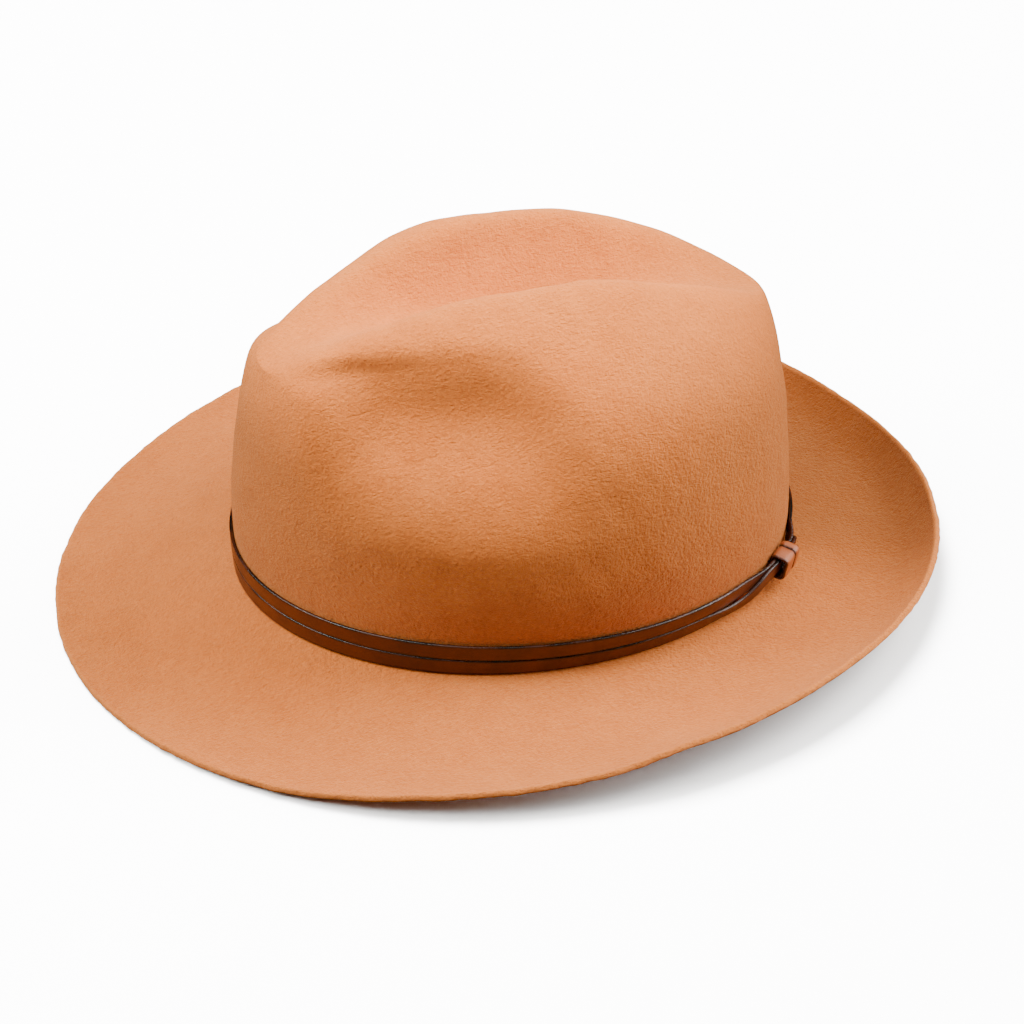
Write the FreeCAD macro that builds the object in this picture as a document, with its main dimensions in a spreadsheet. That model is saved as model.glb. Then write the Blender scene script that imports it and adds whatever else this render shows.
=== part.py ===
import FreeCAD, Part
import Sketcher
import math
import os

# A soft felt fedora with a teardrop crown, a slim twin-strap leather hat band and a leather sweatband.
# Millimetres. +Z is up, the front of the hat looks along -Y and the wearer's left is +X.
# The hat stands on its brim: the origin is on the floor, at the middle of the hat's box.
# Angles go round the hat from the front (0) over the wearer's left (90 degrees) to the back (180).
# The "break" is the line where crown and brim meet: a flat oval, a little higher at the front.

DIMENSIONS = {
    # The head opening and the felt
    "crown_half_length": 103.0,
    "crown_half_width": 85.0,
    "break_height": 10.75,
    "break_rise_front": 2.75,
    "crown_felt": 2.0,
    "brim_felt": 2.2,
    # Brim: how wide it is, how steeply it leaves the crown, and how far its edge curls up.
    # Each is mean + front * cos(angle) + ends * cos(2 angle) + corner * cos(3 angle).
    "brim_width": 61.0,
    "brim_width_front": 6.0,
    "brim_width_ends": -0.5,
    "brim_fall": -14.0,
    "brim_fall_front": -2.5,
    "brim_fall_ends": -2.5,
    "brim_curl": 14.85,
    "brim_curl_front": -7.5,
    "brim_curl_ends": -1.6,
    "brim_curl_corner": 1.6,
    "brim_curl_power": 3.6,
    "brim_curl_power_front": -0.6,
    # Pinches: one hollow on each front side of the crown
    "pinch_depth": 17.0,
    "pinch_angle": 55.0,
    "pinch_spread": 27.0,
    "pinch_height": 84.0,
    "pinch_reach_up": 30.0,
    "pinch_reach_down": 38.0,
    # Leather hat band: two straps, one above the other, that cross over each other at the keeper
    "strap_width": 6.5,
    "strap_thickness": 1.2,
    "strap_gap": 0.3,
    "lower_strap_height": 0.6,
    "strap_joint": 0.5,
    "strap_seam": 0.15,
    "upper_strap_drop": 1.15,
    "lower_strap_rise": 5.5,
    "strap_foot_lead": 0.45,
    "strap_top_lead": 1.0,
    "overlap": 9.4,
    "crossing_front": 18.0,
    "crossing_back": 12.0,
    "tack_radius": 0.4,
    "tack_clearance": 0.08,
    # Keeper: two rolled leather rings that slide along the straps
    "keeper_angle": 135.0,
    "keeper_felt_gap": 0.4,
    "keeper_wall": 1.0,
    "keeper_play": 0.45,
    "keeper_headroom": 1.8,
    "keeper_corner": 1.6,
    "keeper_wide": 7.4,
    "keeper_narrow": 3.8,
    "keeper_split": 0.15,
    # Sweatband
    "sweatband_width": 35.0,
    "sweatband_thickness": 0.9,
    "sweatband_inset": 2.95,
    "sweatband_lean": 2.0,
    "sweatband_start": 1.2,
    "sweatband_joint": 0.6,
    "reed_radius": 0.7,
    "reed_inset": 3.7,
    "reed_height": 0.2,
    "tape_thickness": 0.25,
    "tape_start": -0.8,
    "tape_width": 6.5,
    "tape_gap": 0.08,
    "joint_tape_half_angle": 5.0,
    "joint_tape_start": 6.6,
    "joint_tape_width": 17.5,
    "stitch_length": 2.6,
    "stitch_width": 0.5,
    "stitch_count": 110.0,
    "stitch_height": 4.2,
    "stitch_gap": 0.05,
    "thread_thickness": 0.25,
    # Bow and size tab at the back
    "bow_half_angle": 11.0,
    "bow_width": 9.0,
    "bow_waist": 3.6,
    "bow_thickness": 1.6,
    "bow_height": 12.0,
    "bow_flare": 1.2,
    "knot_width": 4.0,
    "knot_tall": 5.0,
    "knot_thickness": 2.6,
    "knot_lift": 0.5,
    "tab_width": 11.0,
    "tab_tall": 14.0,
    "tab_thickness": 0.3,
    "tab_angle": 158.0,
    "tab_height": 14.0,
    "tab_gap": 0.3,
    # Lining
    "lining_cloth": 0.25,
    "lining_start": 25.0,
    "lining_rise": 1.5,
    "lining_half_length": 83.0,
    "lining_half_width": 64.0,
    "lining_top": 77.0,
    "piping_radius": 0.8,
    "piping_rise": 0.5,
    "sewn_gap": 0.1,
}

# The crown is a smooth skin over six rings of control points and one at the bottom of the top crease.
# Each ring is an oval: half width, reach to the front, reach to the back, how much narrower it is at
# the front, and its height as mean + front * cos(angle) + ends * cos(2 angle).
CROWN_RINGS = {
    "belly": (94.0, 105.0, 101.5, 0.06, 34.5, 11.0, 0.0),
    "shoulder": (82.0, 97.0, 101.5, 0.0, 88.0, 11.0, 1.0),
    "slope": (51.0, 94.0, 97.5, 0.02, 107.0, 6.0, -7.0),
    "ridge": (27.0, 96.0, 98.0, 0.14, 117.0, 6.0, -17.5),
    "crease": (21.0, 70.0, 64.0, 0.25, 114.5, 7.0, -7.0),
    "floor": (9.0, 38.0, 32.0, 0.0, 103.5, 7.0, 0.0),
}
RING_FIELDS = ("half_width", "front", "back", "taper", "height", "height_front", "height_ends")
CREASE_BOTTOM = 102.0

COLUMNS = 72
CROWN_STEPS_PER_RING = 2
BRIM_ROWS = 10
STRIP_STEP = 4.0
FEWEST_STEPS = 6
BOW_STEPS = 16
# The skin's up value where the crown's wall turns over into its ridge
WALL_TOP = 3.0
WALL_HALVINGS = 20
STANDING_STEPS = 20
STANDING_ANGLE = 4
TACK_ANGLES = (0.0, 78.0, 205.0, 282.0)
TOUCH = 0.01


def make_sheet(doc):
    """The spreadsheet that holds every driving dimension under a name of its own."""
    sheet = doc.addObject("Spreadsheet::Sheet", "Dimensions")
    entries = dict(DIMENSIONS)
    for ring, numbers in CROWN_RINGS.items():
        for field, number in zip(RING_FIELDS, numbers):
            entries["%s_%s" % (ring, field)] = number
    entries["crease_bottom"] = CREASE_BOTTOM
    for row, (name, number) in enumerate(entries.items(), start=1):
        sheet.set("A%d" % row, name)
        sheet.set("B%d" % row, str(number))
        sheet.setAlias("B%d" % row, name)
    doc.recompute()
    return sheet


def smoothstep(value):
    value = min(max(value, 0.0), 1.0)
    return value * value * (3.0 - 2.0 * value)


class HatShape:
    """The free-form surfaces of the hat, worked out from the sheet's dimensions."""

    def __init__(self, sheet):
        names = list(DIMENSIONS) + ["crease_bottom"]
        names += [ring + "_" + field for ring in CROWN_RINGS for field in RING_FIELDS]
        self.sizes = {name: float(sheet.get(name)) for name in names}
        self.shift = FreeCAD.Vector(0, 0, 0)
        self.shift = self.standing_shift()

    def size(self, name):
        return self.sizes[name]

    def series(self, name, angle):
        """A dimension that changes round the hat, as a short cosine series."""
        total = self.size(name)
        for suffix, times in (("_front", 1), ("_ends", 2), ("_corner", 3)):
            if name + suffix in DIMENSIONS:
                total += self.size(name + suffix) * math.cos(times * angle)
        return total

    def break_point(self, angle):
        x = self.size("crown_half_width") * math.sin(angle)
        y = -self.size("crown_half_length") * math.cos(angle)
        z = self.size("break_height") + self.size("break_rise_front") * math.cos(angle)
        return FreeCAD.Vector(x, y, z) + self.shift

    def outward(self, angle):
        """Level unit vector that points away from the crown at the break."""
        along_x = self.size("crown_half_width") * math.cos(angle)
        along_y = self.size("crown_half_length") * math.sin(angle)
        return FreeCAD.Vector(along_y, -along_x, 0).normalize()

    def brim_point(self, across, angle):
        """Top of the brim; across runs from 0 at the break to 1 at the edge."""
        fall = self.series("brim_fall", angle) * across
        curl = self.series("brim_curl", angle) * across ** self.series("brim_curl_power", angle)
        level = self.outward(angle) * (self.series("brim_width", angle) * across)
        return self.break_point(angle) + level + FreeCAD.Vector(0, 0, fall + curl)

    def ring_point(self, ring, angle):
        front = self.size(ring + "_front")
        back = self.size(ring + "_back")
        taper = 1.0 - self.size(ring + "_taper") * math.cos(angle)
        x = self.size(ring + "_half_width") * math.sin(angle) * taper
        y = (back - front) / 2.0 - (back + front) / 2.0 * math.cos(angle)
        z = self.size(ring + "_height") + self.size(ring + "_height_front") * math.cos(angle)
        z += self.size(ring + "_height_ends") * math.cos(2.0 * angle)
        return FreeCAD.Vector(x, y, z) + self.shift

    def crown_controls(self, angle):
        """Control points from below the break, up the wall, over the ridge and down to the crease."""
        start = self.break_point(angle)
        rings = [self.ring_point(ring, angle) for ring in CROWN_RINGS]
        across = self.ring_point("floor", angle + math.pi)
        middle_y = (self.size("floor_back") - self.size("floor_front")) / 2.0
        bottom = FreeCAD.Vector(0, middle_y, self.size("crease_bottom")) + self.shift
        return [start * 2.0 - rings[0], start] + rings + [bottom, across]

    def pinch(self, up, angle, height):
        """How far the side hollow pushes the crown's wall inwards."""
        centre = math.radians(self.size("pinch_angle"))
        turn = math.atan2(math.sin(angle), math.cos(angle))
        sideways = (abs(turn) - centre) / math.radians(self.size("pinch_spread"))
        lift = height - self.size("pinch_height")
        reach = self.size("pinch_reach_up" if lift > 0.0 else "pinch_reach_down")
        share = smoothstep(1.0 - abs(lift) / reach) * (1.0 - smoothstep(up - WALL_TOP))
        return self.size("pinch_depth") * share * math.exp(-sideways ** 4)

    def crown_point(self, up, angle):
        """Outside of the crown; up runs from 0 at the break to 7 at the bottom of the top crease."""
        points = self.crown_controls(angle)
        first = min(int(up), len(CROWN_RINGS))
        part = up - first
        weights = (
            (1.0 - part) ** 3 / 6.0,
            (3.0 * part ** 3 - 6.0 * part ** 2 + 4.0) / 6.0,
            (-3.0 * part ** 3 + 3.0 * part ** 2 + 3.0 * part + 1.0) / 6.0,
            part ** 3 / 6.0,
        )
        place = FreeCAD.Vector(0, 0, 0)
        for weight, point in zip(weights, points[first:first + 4]):
            place += point * weight
        above_break = place.z - self.break_point(angle).z
        return place - self.outward(angle) * self.pinch(up, angle, above_break)

    def wall_point(self, above, angle):
        """Outside of the crown's wall at a height above the break."""
        goal = self.break_point(angle).z + above
        low, high = 0.0, WALL_TOP
        for _ in range(WALL_HALVINGS):
            middle = (low + high) / 2.0
            if self.crown_point(middle, angle).z < goal:
                low = middle
            else:
                high = middle
        return self.crown_point(low, angle)

    def normal(self, surface, first, angle):
        """Normal of a surface by central differences: around the hat, cross along the surface."""
        small = 0.001
        along = surface(first + small, angle) - surface(first - small, angle)
        around = surface(first, angle + small) - surface(first, angle - small)
        return around.cross(along).normalize()

    def at_break(self, angle, above, off):
        """Point at a height above the break, in the upright plane square to it; off is outwards."""
        return self.break_point(angle) + self.outward(angle) * off + FreeCAD.Vector(0, 0, above)

    def bulge(self, angle, above):
        """How far the crown's wall stands outside the break at a height above it."""
        return (self.wall_point(above, angle) - self.break_point(angle)).dot(self.outward(angle))

    def wall_tilt(self, angle, above):
        """Lean of the wall outwards behind a strap, in radians."""
        reach = self.size("strap_width") / 2.0
        rise = self.bulge(angle, above + reach) - self.bulge(angle, above - reach)
        return math.atan2(rise, 2.0 * reach)

    def strap_frame(self, angle, upper):
        """Point on the felt behind a strap's middle, the way up the strap and the way off it.

        Near the keeper the strap keeps the bulge and tilt that it has at the keeper."""
        middle = self.strap_middle(angle, upper)
        keeper = math.radians(self.size("keeper_angle"))
        keeper_middle = self.strap_middle(keeper, upper)
        share = self.strap_crossing(angle, 0.0)
        bulge = self.bulge(angle, middle) * (1.0 - share)
        bulge += self.bulge(keeper, keeper_middle) * share
        tilt = self.wall_tilt(angle, middle) * (1.0 - share)
        tilt += self.wall_tilt(keeper, keeper_middle) * share
        out = self.outward(angle)
        up = out * math.sin(tilt) + FreeCAD.Vector(0, 0, math.cos(tilt))
        off = out * math.cos(tilt) - FreeCAD.Vector(0, 0, math.sin(tilt))
        return self.at_break(angle, middle, bulge), up, off

    def at_sweatband(self, angle, above, off):
        """Point at a height above the break; off counts inwards from the sweatband's felt side."""
        lean = self.size("sweatband_lean") * (above - self.size("sweatband_start"))
        inset = self.size("sweatband_inset") + lean / self.size("sweatband_width")
        return self.at_break(angle, above, -inset - off)

    def speed_at_keeper(self):
        """Length along the break for each radian at the keeper."""
        angle = math.radians(self.size("keeper_angle"))
        along_x = self.size("crown_half_width") * math.cos(angle)
        along_y = self.size("crown_half_length") * math.sin(angle)
        return math.hypot(along_x, along_y)

    def strap_crossing(self, angle, lead):
        """0 where the straps lie one above the other, 1 where they lie one over the other.

        lead starts the change that many crossing lengths further from the keeper."""
        turn = angle - math.radians(self.size("keeper_angle"))
        distance = math.atan2(math.sin(turn), math.cos(turn)) * self.speed_at_keeper()
        length = self.size("crossing_back" if distance > 0 else "crossing_front")
        return smoothstep(1.0 - (abs(distance) - self.size("overlap")) / length + lead)

    def strap_middle(self, angle, upper):
        """Height above the break of a strap's middle line."""
        middle = self.size("lower_strap_height") + self.size("strap_width") / 2.0
        crossed = self.strap_crossing(angle, 0.0)
        if not upper:
            return middle + self.size("lower_strap_rise") * crossed
        middle += self.size("strap_width") + self.size("strap_seam")
        return middle - self.size("upper_strap_drop") * crossed

    def standing_shift(self):
        """Moves the hat so that it stands on the floor with the origin at the middle of its box."""
        angles = [math.radians(degrees) for degrees in range(0, 360, STANDING_ANGLE)]
        edge = [self.brim_point(1.0, angle) for angle in angles]
        middle_y = (min(p.y for p in edge) + max(p.y for p in edge)) / 2.0
        acrosses = [step / STANDING_STEPS for step in range(1, STANDING_STEPS + 1)]
        lowest = min(self.brim_under_point(across, angle).z for across in acrosses for angle in angles)
        return FreeCAD.Vector(0, -middle_y, -lowest)

    def brim_under_point(self, across, angle):
        down = self.normal(self.brim_point, across, angle)
        return self.brim_point(across, angle) + down * self.size("brim_felt")

    def crown_inner_point(self, up, angle):
        normal = self.normal(self.crown_point, up, angle)
        return self.crown_point(up, angle) - normal * self.size("crown_felt")

    def inner_corner(self, angle):
        """Where the inside of the crown meets the underside of the brim."""
        inwards = self.outward(angle) * self.size("crown_felt")
        return self.break_point(angle) - inwards - FreeCAD.Vector(0, 0, self.size("brim_felt"))


def around_hat():
    return [2.0 * math.pi * column / COLUMNS for column in range(COLUMNS)]


def filtered_ring(points):
    """Poles of the closed cubic spline through evenly spaced points."""
    count = len(points)
    poles = []
    for index, point in enumerate(points):
        bend = points[index - 1] + points[(index + 1) % count] - point * 2.0
        poles.append(point - bend * (1.0 / 6.0))
    return poles


def skin_face(rows, closes_at_top=False):
    """Smooth face through rows of points round the hat, open or drawn together in a point."""
    rows = [filtered_ring(row) for row in rows]
    half = COLUMNS // 2
    last = len(rows) - 1

    def row_after(index):
        if index < last:
            return rows[index + 1]
        return [rows[last - 1][(column + half) % COLUMNS] for column in range(COLUMNS)]

    inner = [rows[0]]
    for index in range(1, last + 1):
        if index == last and not closes_at_top:
            inner.append(rows[index])
            continue
        following = row_after(index)
        bends = [a + c - b * 2.0 for a, b, c in zip(rows[index - 1], rows[index], following)]
        inner.append([b - bend * (1.0 / 6.0) for b, bend in zip(rows[index], bends)])
    second = [(a * 2.0 + b) * (1.0 / 3.0) for a, b in zip(inner[0], inner[1])]
    before_last = [(a * 2.0 + b) * (1.0 / 3.0) for a, b in zip(inner[last], inner[last - 1])]
    poles = [rows[0], second] + inner[1:last] + [before_last, rows[last]]
    spans = last
    surface = Part.BSplineSurface()
    surface.buildFromPolesMultsKnots(
        poles,
        [4] + [1] * (spans - 1) + [4],
        [1] * (COLUMNS + 1),
        [float(knot) for knot in range(spans + 1)],
        [float(knot) for knot in range(COLUMNS + 1)],
        False, True, 3, 3,
    )
    return Part.Face(surface)


def filtered_line(points):
    """Poles of the open cubic spline through evenly spaced points, straight at its ends."""
    inner = [points[0]]
    for before, point, after in zip(points, points[1:], points[2:]):
        inner.append(point - (before + after - point * 2.0) * (1.0 / 6.0))
    inner.append(points[-1])
    second = (inner[0] * 2.0 + inner[1]) * (1.0 / 3.0)
    before_last = (inner[-1] * 2.0 + inner[-2]) * (1.0 / 3.0)
    return [inner[0], second] + inner[1:-1] + [before_last, inner[-1]]


def ruled_face(first_row, second_row, closed=True):
    """Face of straight lines between two rows of points, round the whole hat or part of it."""
    poles_of = filtered_ring if closed else filtered_line
    spans = len(first_row) if closed else len(first_row) - 1
    ends = 1 if closed else 4
    surface = Part.BSplineSurface()
    surface.buildFromPolesMultsKnots(
        [poles_of(first_row), poles_of(second_row)],
        [2, 2],
        [ends] + [1] * (spans - 1) + [ends],
        [0.0, 1.0],
        [float(knot) for knot in range(spans + 1)],
        False, closed, 1, 3,
    )
    return Part.Face(surface)


def strip_solid(sections, closed):
    """Solid strip with straight-sided sections, round the whole hat or part of it."""
    rows = [list(row) for row in zip(*sections)]
    faces = [ruled_face(rows[side - 1], rows[side], closed) for side in range(len(rows))]
    if not closed:
        for section in (sections[0], sections[-1]):
            faces.append(Part.Face(Part.makePolygon(list(section) + [section[0]])))
    return solid_of(faces)


def solid_of(faces):
    shell = Part.makeShell(faces)
    shell.sewShape(0.001)
    if shell.ShapeType == "Compound":
        shell = shell.Shells[0]
    solid = Part.makeSolid(Part.Shell(shell.Faces))
    if solid.Volume < 0:
        solid.reverse()
    return solid


def add_feature(doc, label, shape, placement=None):
    feature = doc.addObject("Part::Feature", label)
    feature.Shape = shape
    feature.Label = label
    feature.Placement = placement or FreeCAD.Placement()
    return feature


def make_felt_body(doc, hat):
    """Crown and brim, blocked from one piece of felt."""
    angles = around_hat()
    crown_rows = len(CROWN_RINGS) * CROWN_STEPS_PER_RING + CROWN_STEPS_PER_RING
    ups = [row / CROWN_STEPS_PER_RING for row in range(crown_rows + 1)]
    acrosses = [row / BRIM_ROWS for row in range(BRIM_ROWS + 1)]
    corner = [hat.inner_corner(angle) for angle in angles]
    outside = [[hat.crown_point(up, angle) for angle in angles] for up in ups]
    bottom = outside[-1][0]
    inside = [corner]
    inside += [[hat.crown_inner_point(up, angle) for angle in angles] for up in ups[1:-1]]
    inside += [[bottom - FreeCAD.Vector(0, 0, hat.size("crown_felt"))] * COLUMNS]
    top = [[hat.brim_point(across, angle) for angle in angles] for across in acrosses]
    under = [corner]
    under += [[hat.brim_under_point(across, angle) for angle in angles] for across in acrosses[1:]]
    faces = [
        skin_face(outside, closes_at_top=True),
        skin_face(inside, closes_at_top=True),
        skin_face(top),
        skin_face(under),
        ruled_face(top[-1], under[-1]),
    ]
    return add_feature(doc, "felt_body", solid_of(faces))


def make_strap(doc, hat, label, upper):
    """One leather strap; it stands off the felt and crosses its twin where the keeper sits."""
    width = hat.size("strap_width")
    thick = hat.size("strap_thickness")
    gap = hat.size("strap_gap")
    stand = hat.size("keeper_felt_gap") + hat.size("keeper_wall") + hat.size("keeper_play") - gap
    over = 0.0 if upper else thick + hat.size("strap_seam")

    def section(angle):
        """Corners of the strap's section: its foot, then its top edge."""
        crossed = hat.strap_crossing(angle, 0.0)
        foot_over = hat.strap_crossing(angle, hat.size("strap_foot_lead"))
        top_over = hat.strap_crossing(angle, hat.size("strap_top_lead"))
        point, up, off = hat.strap_frame(angle, upper)
        foot_off = gap + stand * crossed + over * foot_over
        top_off = gap + stand * crossed + over * top_over
        foot = point - up * (width / 2.0)
        top = point + up * (width / 2.0)
        return (
            foot + off * foot_off,
            foot + off * (foot_off + thick),
            top + off * (top_off + thick),
            top + off * top_off,
        )

    half_joint = hat.size("strap_joint") / 2.0 / hat.speed_at_keeper()
    keeper = math.radians(hat.size("keeper_angle"))
    angles = angles_between(hat, keeper + half_joint, keeper + 2.0 * math.pi - half_joint)
    return add_feature(doc, label, strip_solid([section(angle) for angle in angles], closed=False))


def angles_between(hat, start, end):
    """Evenly spaced angles, about one strip step apart along a mean crown radius."""
    mean_radius = (hat.size("crown_half_length") + hat.size("crown_half_width")) / 2.0
    steps = max(FEWEST_STEPS, math.ceil((end - start) * mean_radius / STRIP_STEP))
    return [start + (end - start) * step / steps for step in range(steps + 1)]


def keeper_frame(hat):
    """Placement on the felt behind the crossed straps: X outwards, Y up the strap, Z along it."""
    angle = math.radians(hat.size("keeper_angle"))
    point, up, out = hat.strap_frame(angle, upper=False)
    along = out.cross(up)
    matrix = FreeCAD.Matrix(
        out.x, up.x, along.x, 0,
        out.y, up.y, along.y, 0,
        out.z, up.z, along.z, 0,
        0, 0, 0, 1,
    )
    return FreeCAD.Placement(point, FreeCAD.Placement(matrix).Rotation)


def add_rectangle(sketch, first_corner, size):
    """Rectangle held by its first corner's place and its size; each value is a formula."""
    start = sketch.GeometryCount
    corners = [(0, 0), (1, 0), (1, 1), (0, 1)]
    for (x0, y0), (x1, y1) in zip(corners, corners[1:] + corners[:1]):
        ends = FreeCAD.Vector(x0 + start, y0 + start, 0), FreeCAD.Vector(x1 + start, y1 + start, 0)
        sketch.addGeometry(Part.LineSegment(*ends), False)
    for side in range(4):
        after = start + (side + 1) % 4
        sketch.addConstraint(Sketcher.Constraint("Coincident", start + side, 2, after, 1))
        direction = "Horizontal" if side % 2 == 0 else "Vertical"
        sketch.addConstraint(Sketcher.Constraint(direction, start + side))
    bounds = [
        ("DistanceX", start, 1, start, 2, size[0]),
        ("DistanceY", start + 1, 1, start + 1, 2, size[1]),
    ]
    if first_corner is None:
        sketch.addConstraint(Sketcher.Constraint("Coincident", start, 1, -1, 1))
    else:
        bounds.append(("DistanceX", -1, 1, start, 1, first_corner[0]))
        bounds.append(("DistanceY", -1, 1, start, 1, first_corner[1]))
    for kind, *ends, formula in bounds:
        index = sketch.addConstraint(Sketcher.Constraint(kind, *ends, 1.0))
        sketch.setExpression("Constraints[%d]" % index, formula)


def origin_plane(body, role):
    return next(item for item in body.Origin.OriginFeatures if item.Role == role)


KEEPER_TALL = "2 * Dimensions.keeper_wall + 2 * Dimensions.keeper_play + Dimensions.strap_width"
KEEPER_DEEP = (
    "2 * Dimensions.keeper_wall + Dimensions.keeper_play + 2 * Dimensions.strap_thickness"
    " + Dimensions.strap_seam + Dimensions.keeper_headroom"
)


def make_keeper_ring(doc, hat, label, length_name, start_along):
    """Rolled leather ring round both straps; start_along is where it begins along the straps."""
    body = doc.addObject("PartDesign::Body", label)
    body.Label = label
    sketch = body.newObject("Sketcher::SketchObject", label + "_section")
    sketch.AttachmentSupport = [(origin_plane(body, "XY_Plane"), "")]
    sketch.MapMode = "FlatFace"
    wall = "Dimensions.keeper_wall"
    add_rectangle(sketch, None, (KEEPER_DEEP, KEEPER_TALL))
    inner = (KEEPER_DEEP + " - 2 * " + wall, KEEPER_TALL + " - 2 * " + wall)
    add_rectangle(sketch, (wall, wall), inner)
    doc.recompute()
    pad = body.newObject("PartDesign::Pad", label + "_pad")
    pad.Profile = sketch
    pad.setExpression("Length", "Dimensions." + length_name)
    doc.recompute()
    box = pad.Shape.BoundBox
    corner_edges = []
    for number, edge in enumerate(pad.Shape.Edges, start=1):
        middle = edge.CenterOfMass
        at_side = min(middle.x - box.XMin, box.XMax - middle.x) < TOUCH
        at_end = min(middle.y - box.YMin, box.YMax - middle.y) < TOUCH
        if at_side and at_end:
            corner_edges.append("Edge%d" % number)
    rounding = body.newObject("PartDesign::Fillet", label + "_rounding")
    rounding.Base = (pad, corner_edges)
    rounding.setExpression("Radius", "Dimensions.keeper_corner")
    doc.recompute()
    corner = FreeCAD.Vector(hat.size("keeper_felt_gap"), -box.YLength / 2.0, start_along)
    body.Placement = keeper_frame(hat).multiply(FreeCAD.Placement(corner, FreeCAD.Rotation()))
    return body


def make_keeper(doc, hat):
    """The two rings sit side by side, the wide one towards the front."""
    total = hat.size("keeper_narrow") + hat.size("keeper_split") + hat.size("keeper_wide")
    start = -total / 2.0
    wide_start = start + hat.size("keeper_narrow") + hat.size("keeper_split")
    return [
        make_keeper_ring(doc, hat, "keeper_ring_narrow", "keeper_narrow", start),
        make_keeper_ring(doc, hat, "keeper_ring_wide", "keeper_wide", wide_start),
    ]


def make_band_tacks(doc, hat):
    """Thread tacks in the gap between felt and straps, which hold the band on the crown."""
    tacks = []
    clear = hat.size("tack_clearance")
    length = hat.size("strap_gap") - 2.0 * clear
    for degrees in TACK_ANGLES:
        angle = math.radians(degrees)
        for upper in (False, True):
            point, _, off = hat.strap_frame(angle, upper)
            foot = point + off * clear
            tacks.append(Part.makeCylinder(hat.size("tack_radius"), length, foot, off))
    return add_feature(doc, "band_tacks", Part.makeCompound(tacks))


def sweatband_strip(hat, span, heights, near, far):
    """Open strip that leans with the sweatband; near and far count inwards from its felt side."""
    low, high = heights

    def section(angle):
        return (
            hat.at_sweatband(angle, low, far),
            hat.at_sweatband(angle, low, near),
            hat.at_sweatband(angle, high, near),
            hat.at_sweatband(angle, high, far),
        )

    return strip_solid([section(angle) for angle in angles_between(hat, *span)], closed=False)


def sweatband_span(hat):
    """Angles of the sweatband's two ends, which meet at the back with a narrow joint."""
    half_joint = hat.size("sweatband_joint") / 2.0 / hat.size("crown_half_width")
    return math.pi + half_joint, 3.0 * math.pi - half_joint


def make_sweatband(doc, hat):
    """Leather strip inside the head opening; its ends meet at the back."""
    low = hat.size("sweatband_start")
    heights = (low, low + hat.size("sweatband_width"))
    shape = sweatband_strip(hat, sweatband_span(hat), heights, 0.0, hat.size("sweatband_thickness"))
    return add_feature(doc, "sweatband", shape)


def make_reed_tape(doc, hat):
    """Cloth tape sewn to the sweatband's foot, on the side that faces the felt."""
    near = -hat.size("tape_gap") - hat.size("tape_thickness")
    low = hat.size("tape_start")
    heights = (low, low + hat.size("tape_width"))
    shape = sweatband_strip(hat, sweatband_span(hat), heights, near, -hat.size("tape_gap"))
    return add_feature(doc, "reed_tape", shape)


def make_joint_tape(doc, hat):
    """Short tape behind the sweatband that joins its two ends."""
    near = -hat.size("tape_gap") - hat.size("tape_thickness")
    low = hat.size("joint_tape_start")
    heights = (low, low + hat.size("joint_tape_width"))
    half_turn = math.radians(hat.size("joint_tape_half_angle"))
    span = (math.pi - half_turn, math.pi + half_turn)
    shape = sweatband_strip(hat, span, heights, near, -hat.size("tape_gap"))
    return add_feature(doc, "sweatband_joint_tape", shape)


def break_tilt(hat):
    """Turn that lays a level oval into the plane of the break."""
    slope = hat.size("break_rise_front") / hat.size("crown_half_length")
    return FreeCAD.Rotation(FreeCAD.Vector(1, 0, 0), -math.degrees(math.atan(slope)))


def make_tube_on_oval(doc, label, long_radius, short_radius, tube_radius, placement):
    """Tube along a flat oval whose long side runs front to back; the sizes are formulas."""
    spine = doc.addObject("Part::Ellipse", label + "_line")
    spine.setExpression("MajorRadius", long_radius)
    spine.setExpression("MinorRadius", short_radius)
    ring = doc.addObject("Part::Circle", label + "_section")
    ring.setExpression("Radius", tube_radius)
    doc.recompute()
    ring.Placement = FreeCAD.Placement(
        FreeCAD.Vector(spine.MajorRadius.Value, 0, 0),
        FreeCAD.Rotation(FreeCAD.Vector(1, 0, 0), 90),
    )
    tube = doc.addObject("Part::Sweep", label)
    tube.Sections = [ring]
    tube.Spine = (spine, ["Edge1"])
    tube.Solid = True
    tube.Frenet = True
    tube.Label = label
    quarter_turn = FreeCAD.Rotation(FreeCAD.Vector(0, 0, 1), 90)
    tube.Placement = placement.multiply(FreeCAD.Placement(FreeCAD.Vector(0, 0, 0), quarter_turn))
    return tube


def make_reed(doc, hat):
    """Round reed under the sweatband's foot."""
    middle = (hat.break_point(0.0) + hat.break_point(math.pi)) * 0.5
    place = FreeCAD.Placement(middle + FreeCAD.Vector(0, 0, hat.size("reed_height")), break_tilt(hat))
    long_radius = (
        "sqrt(Dimensions.crown_half_length ^ 2 + Dimensions.break_rise_front ^ 2)"
        " - Dimensions.reed_inset"
    )
    short_radius = "Dimensions.crown_half_width - Dimensions.reed_inset"
    return make_tube_on_oval(
        doc, "sweatband_reed", long_radius, short_radius, "Dimensions.reed_radius", place
    )


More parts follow.
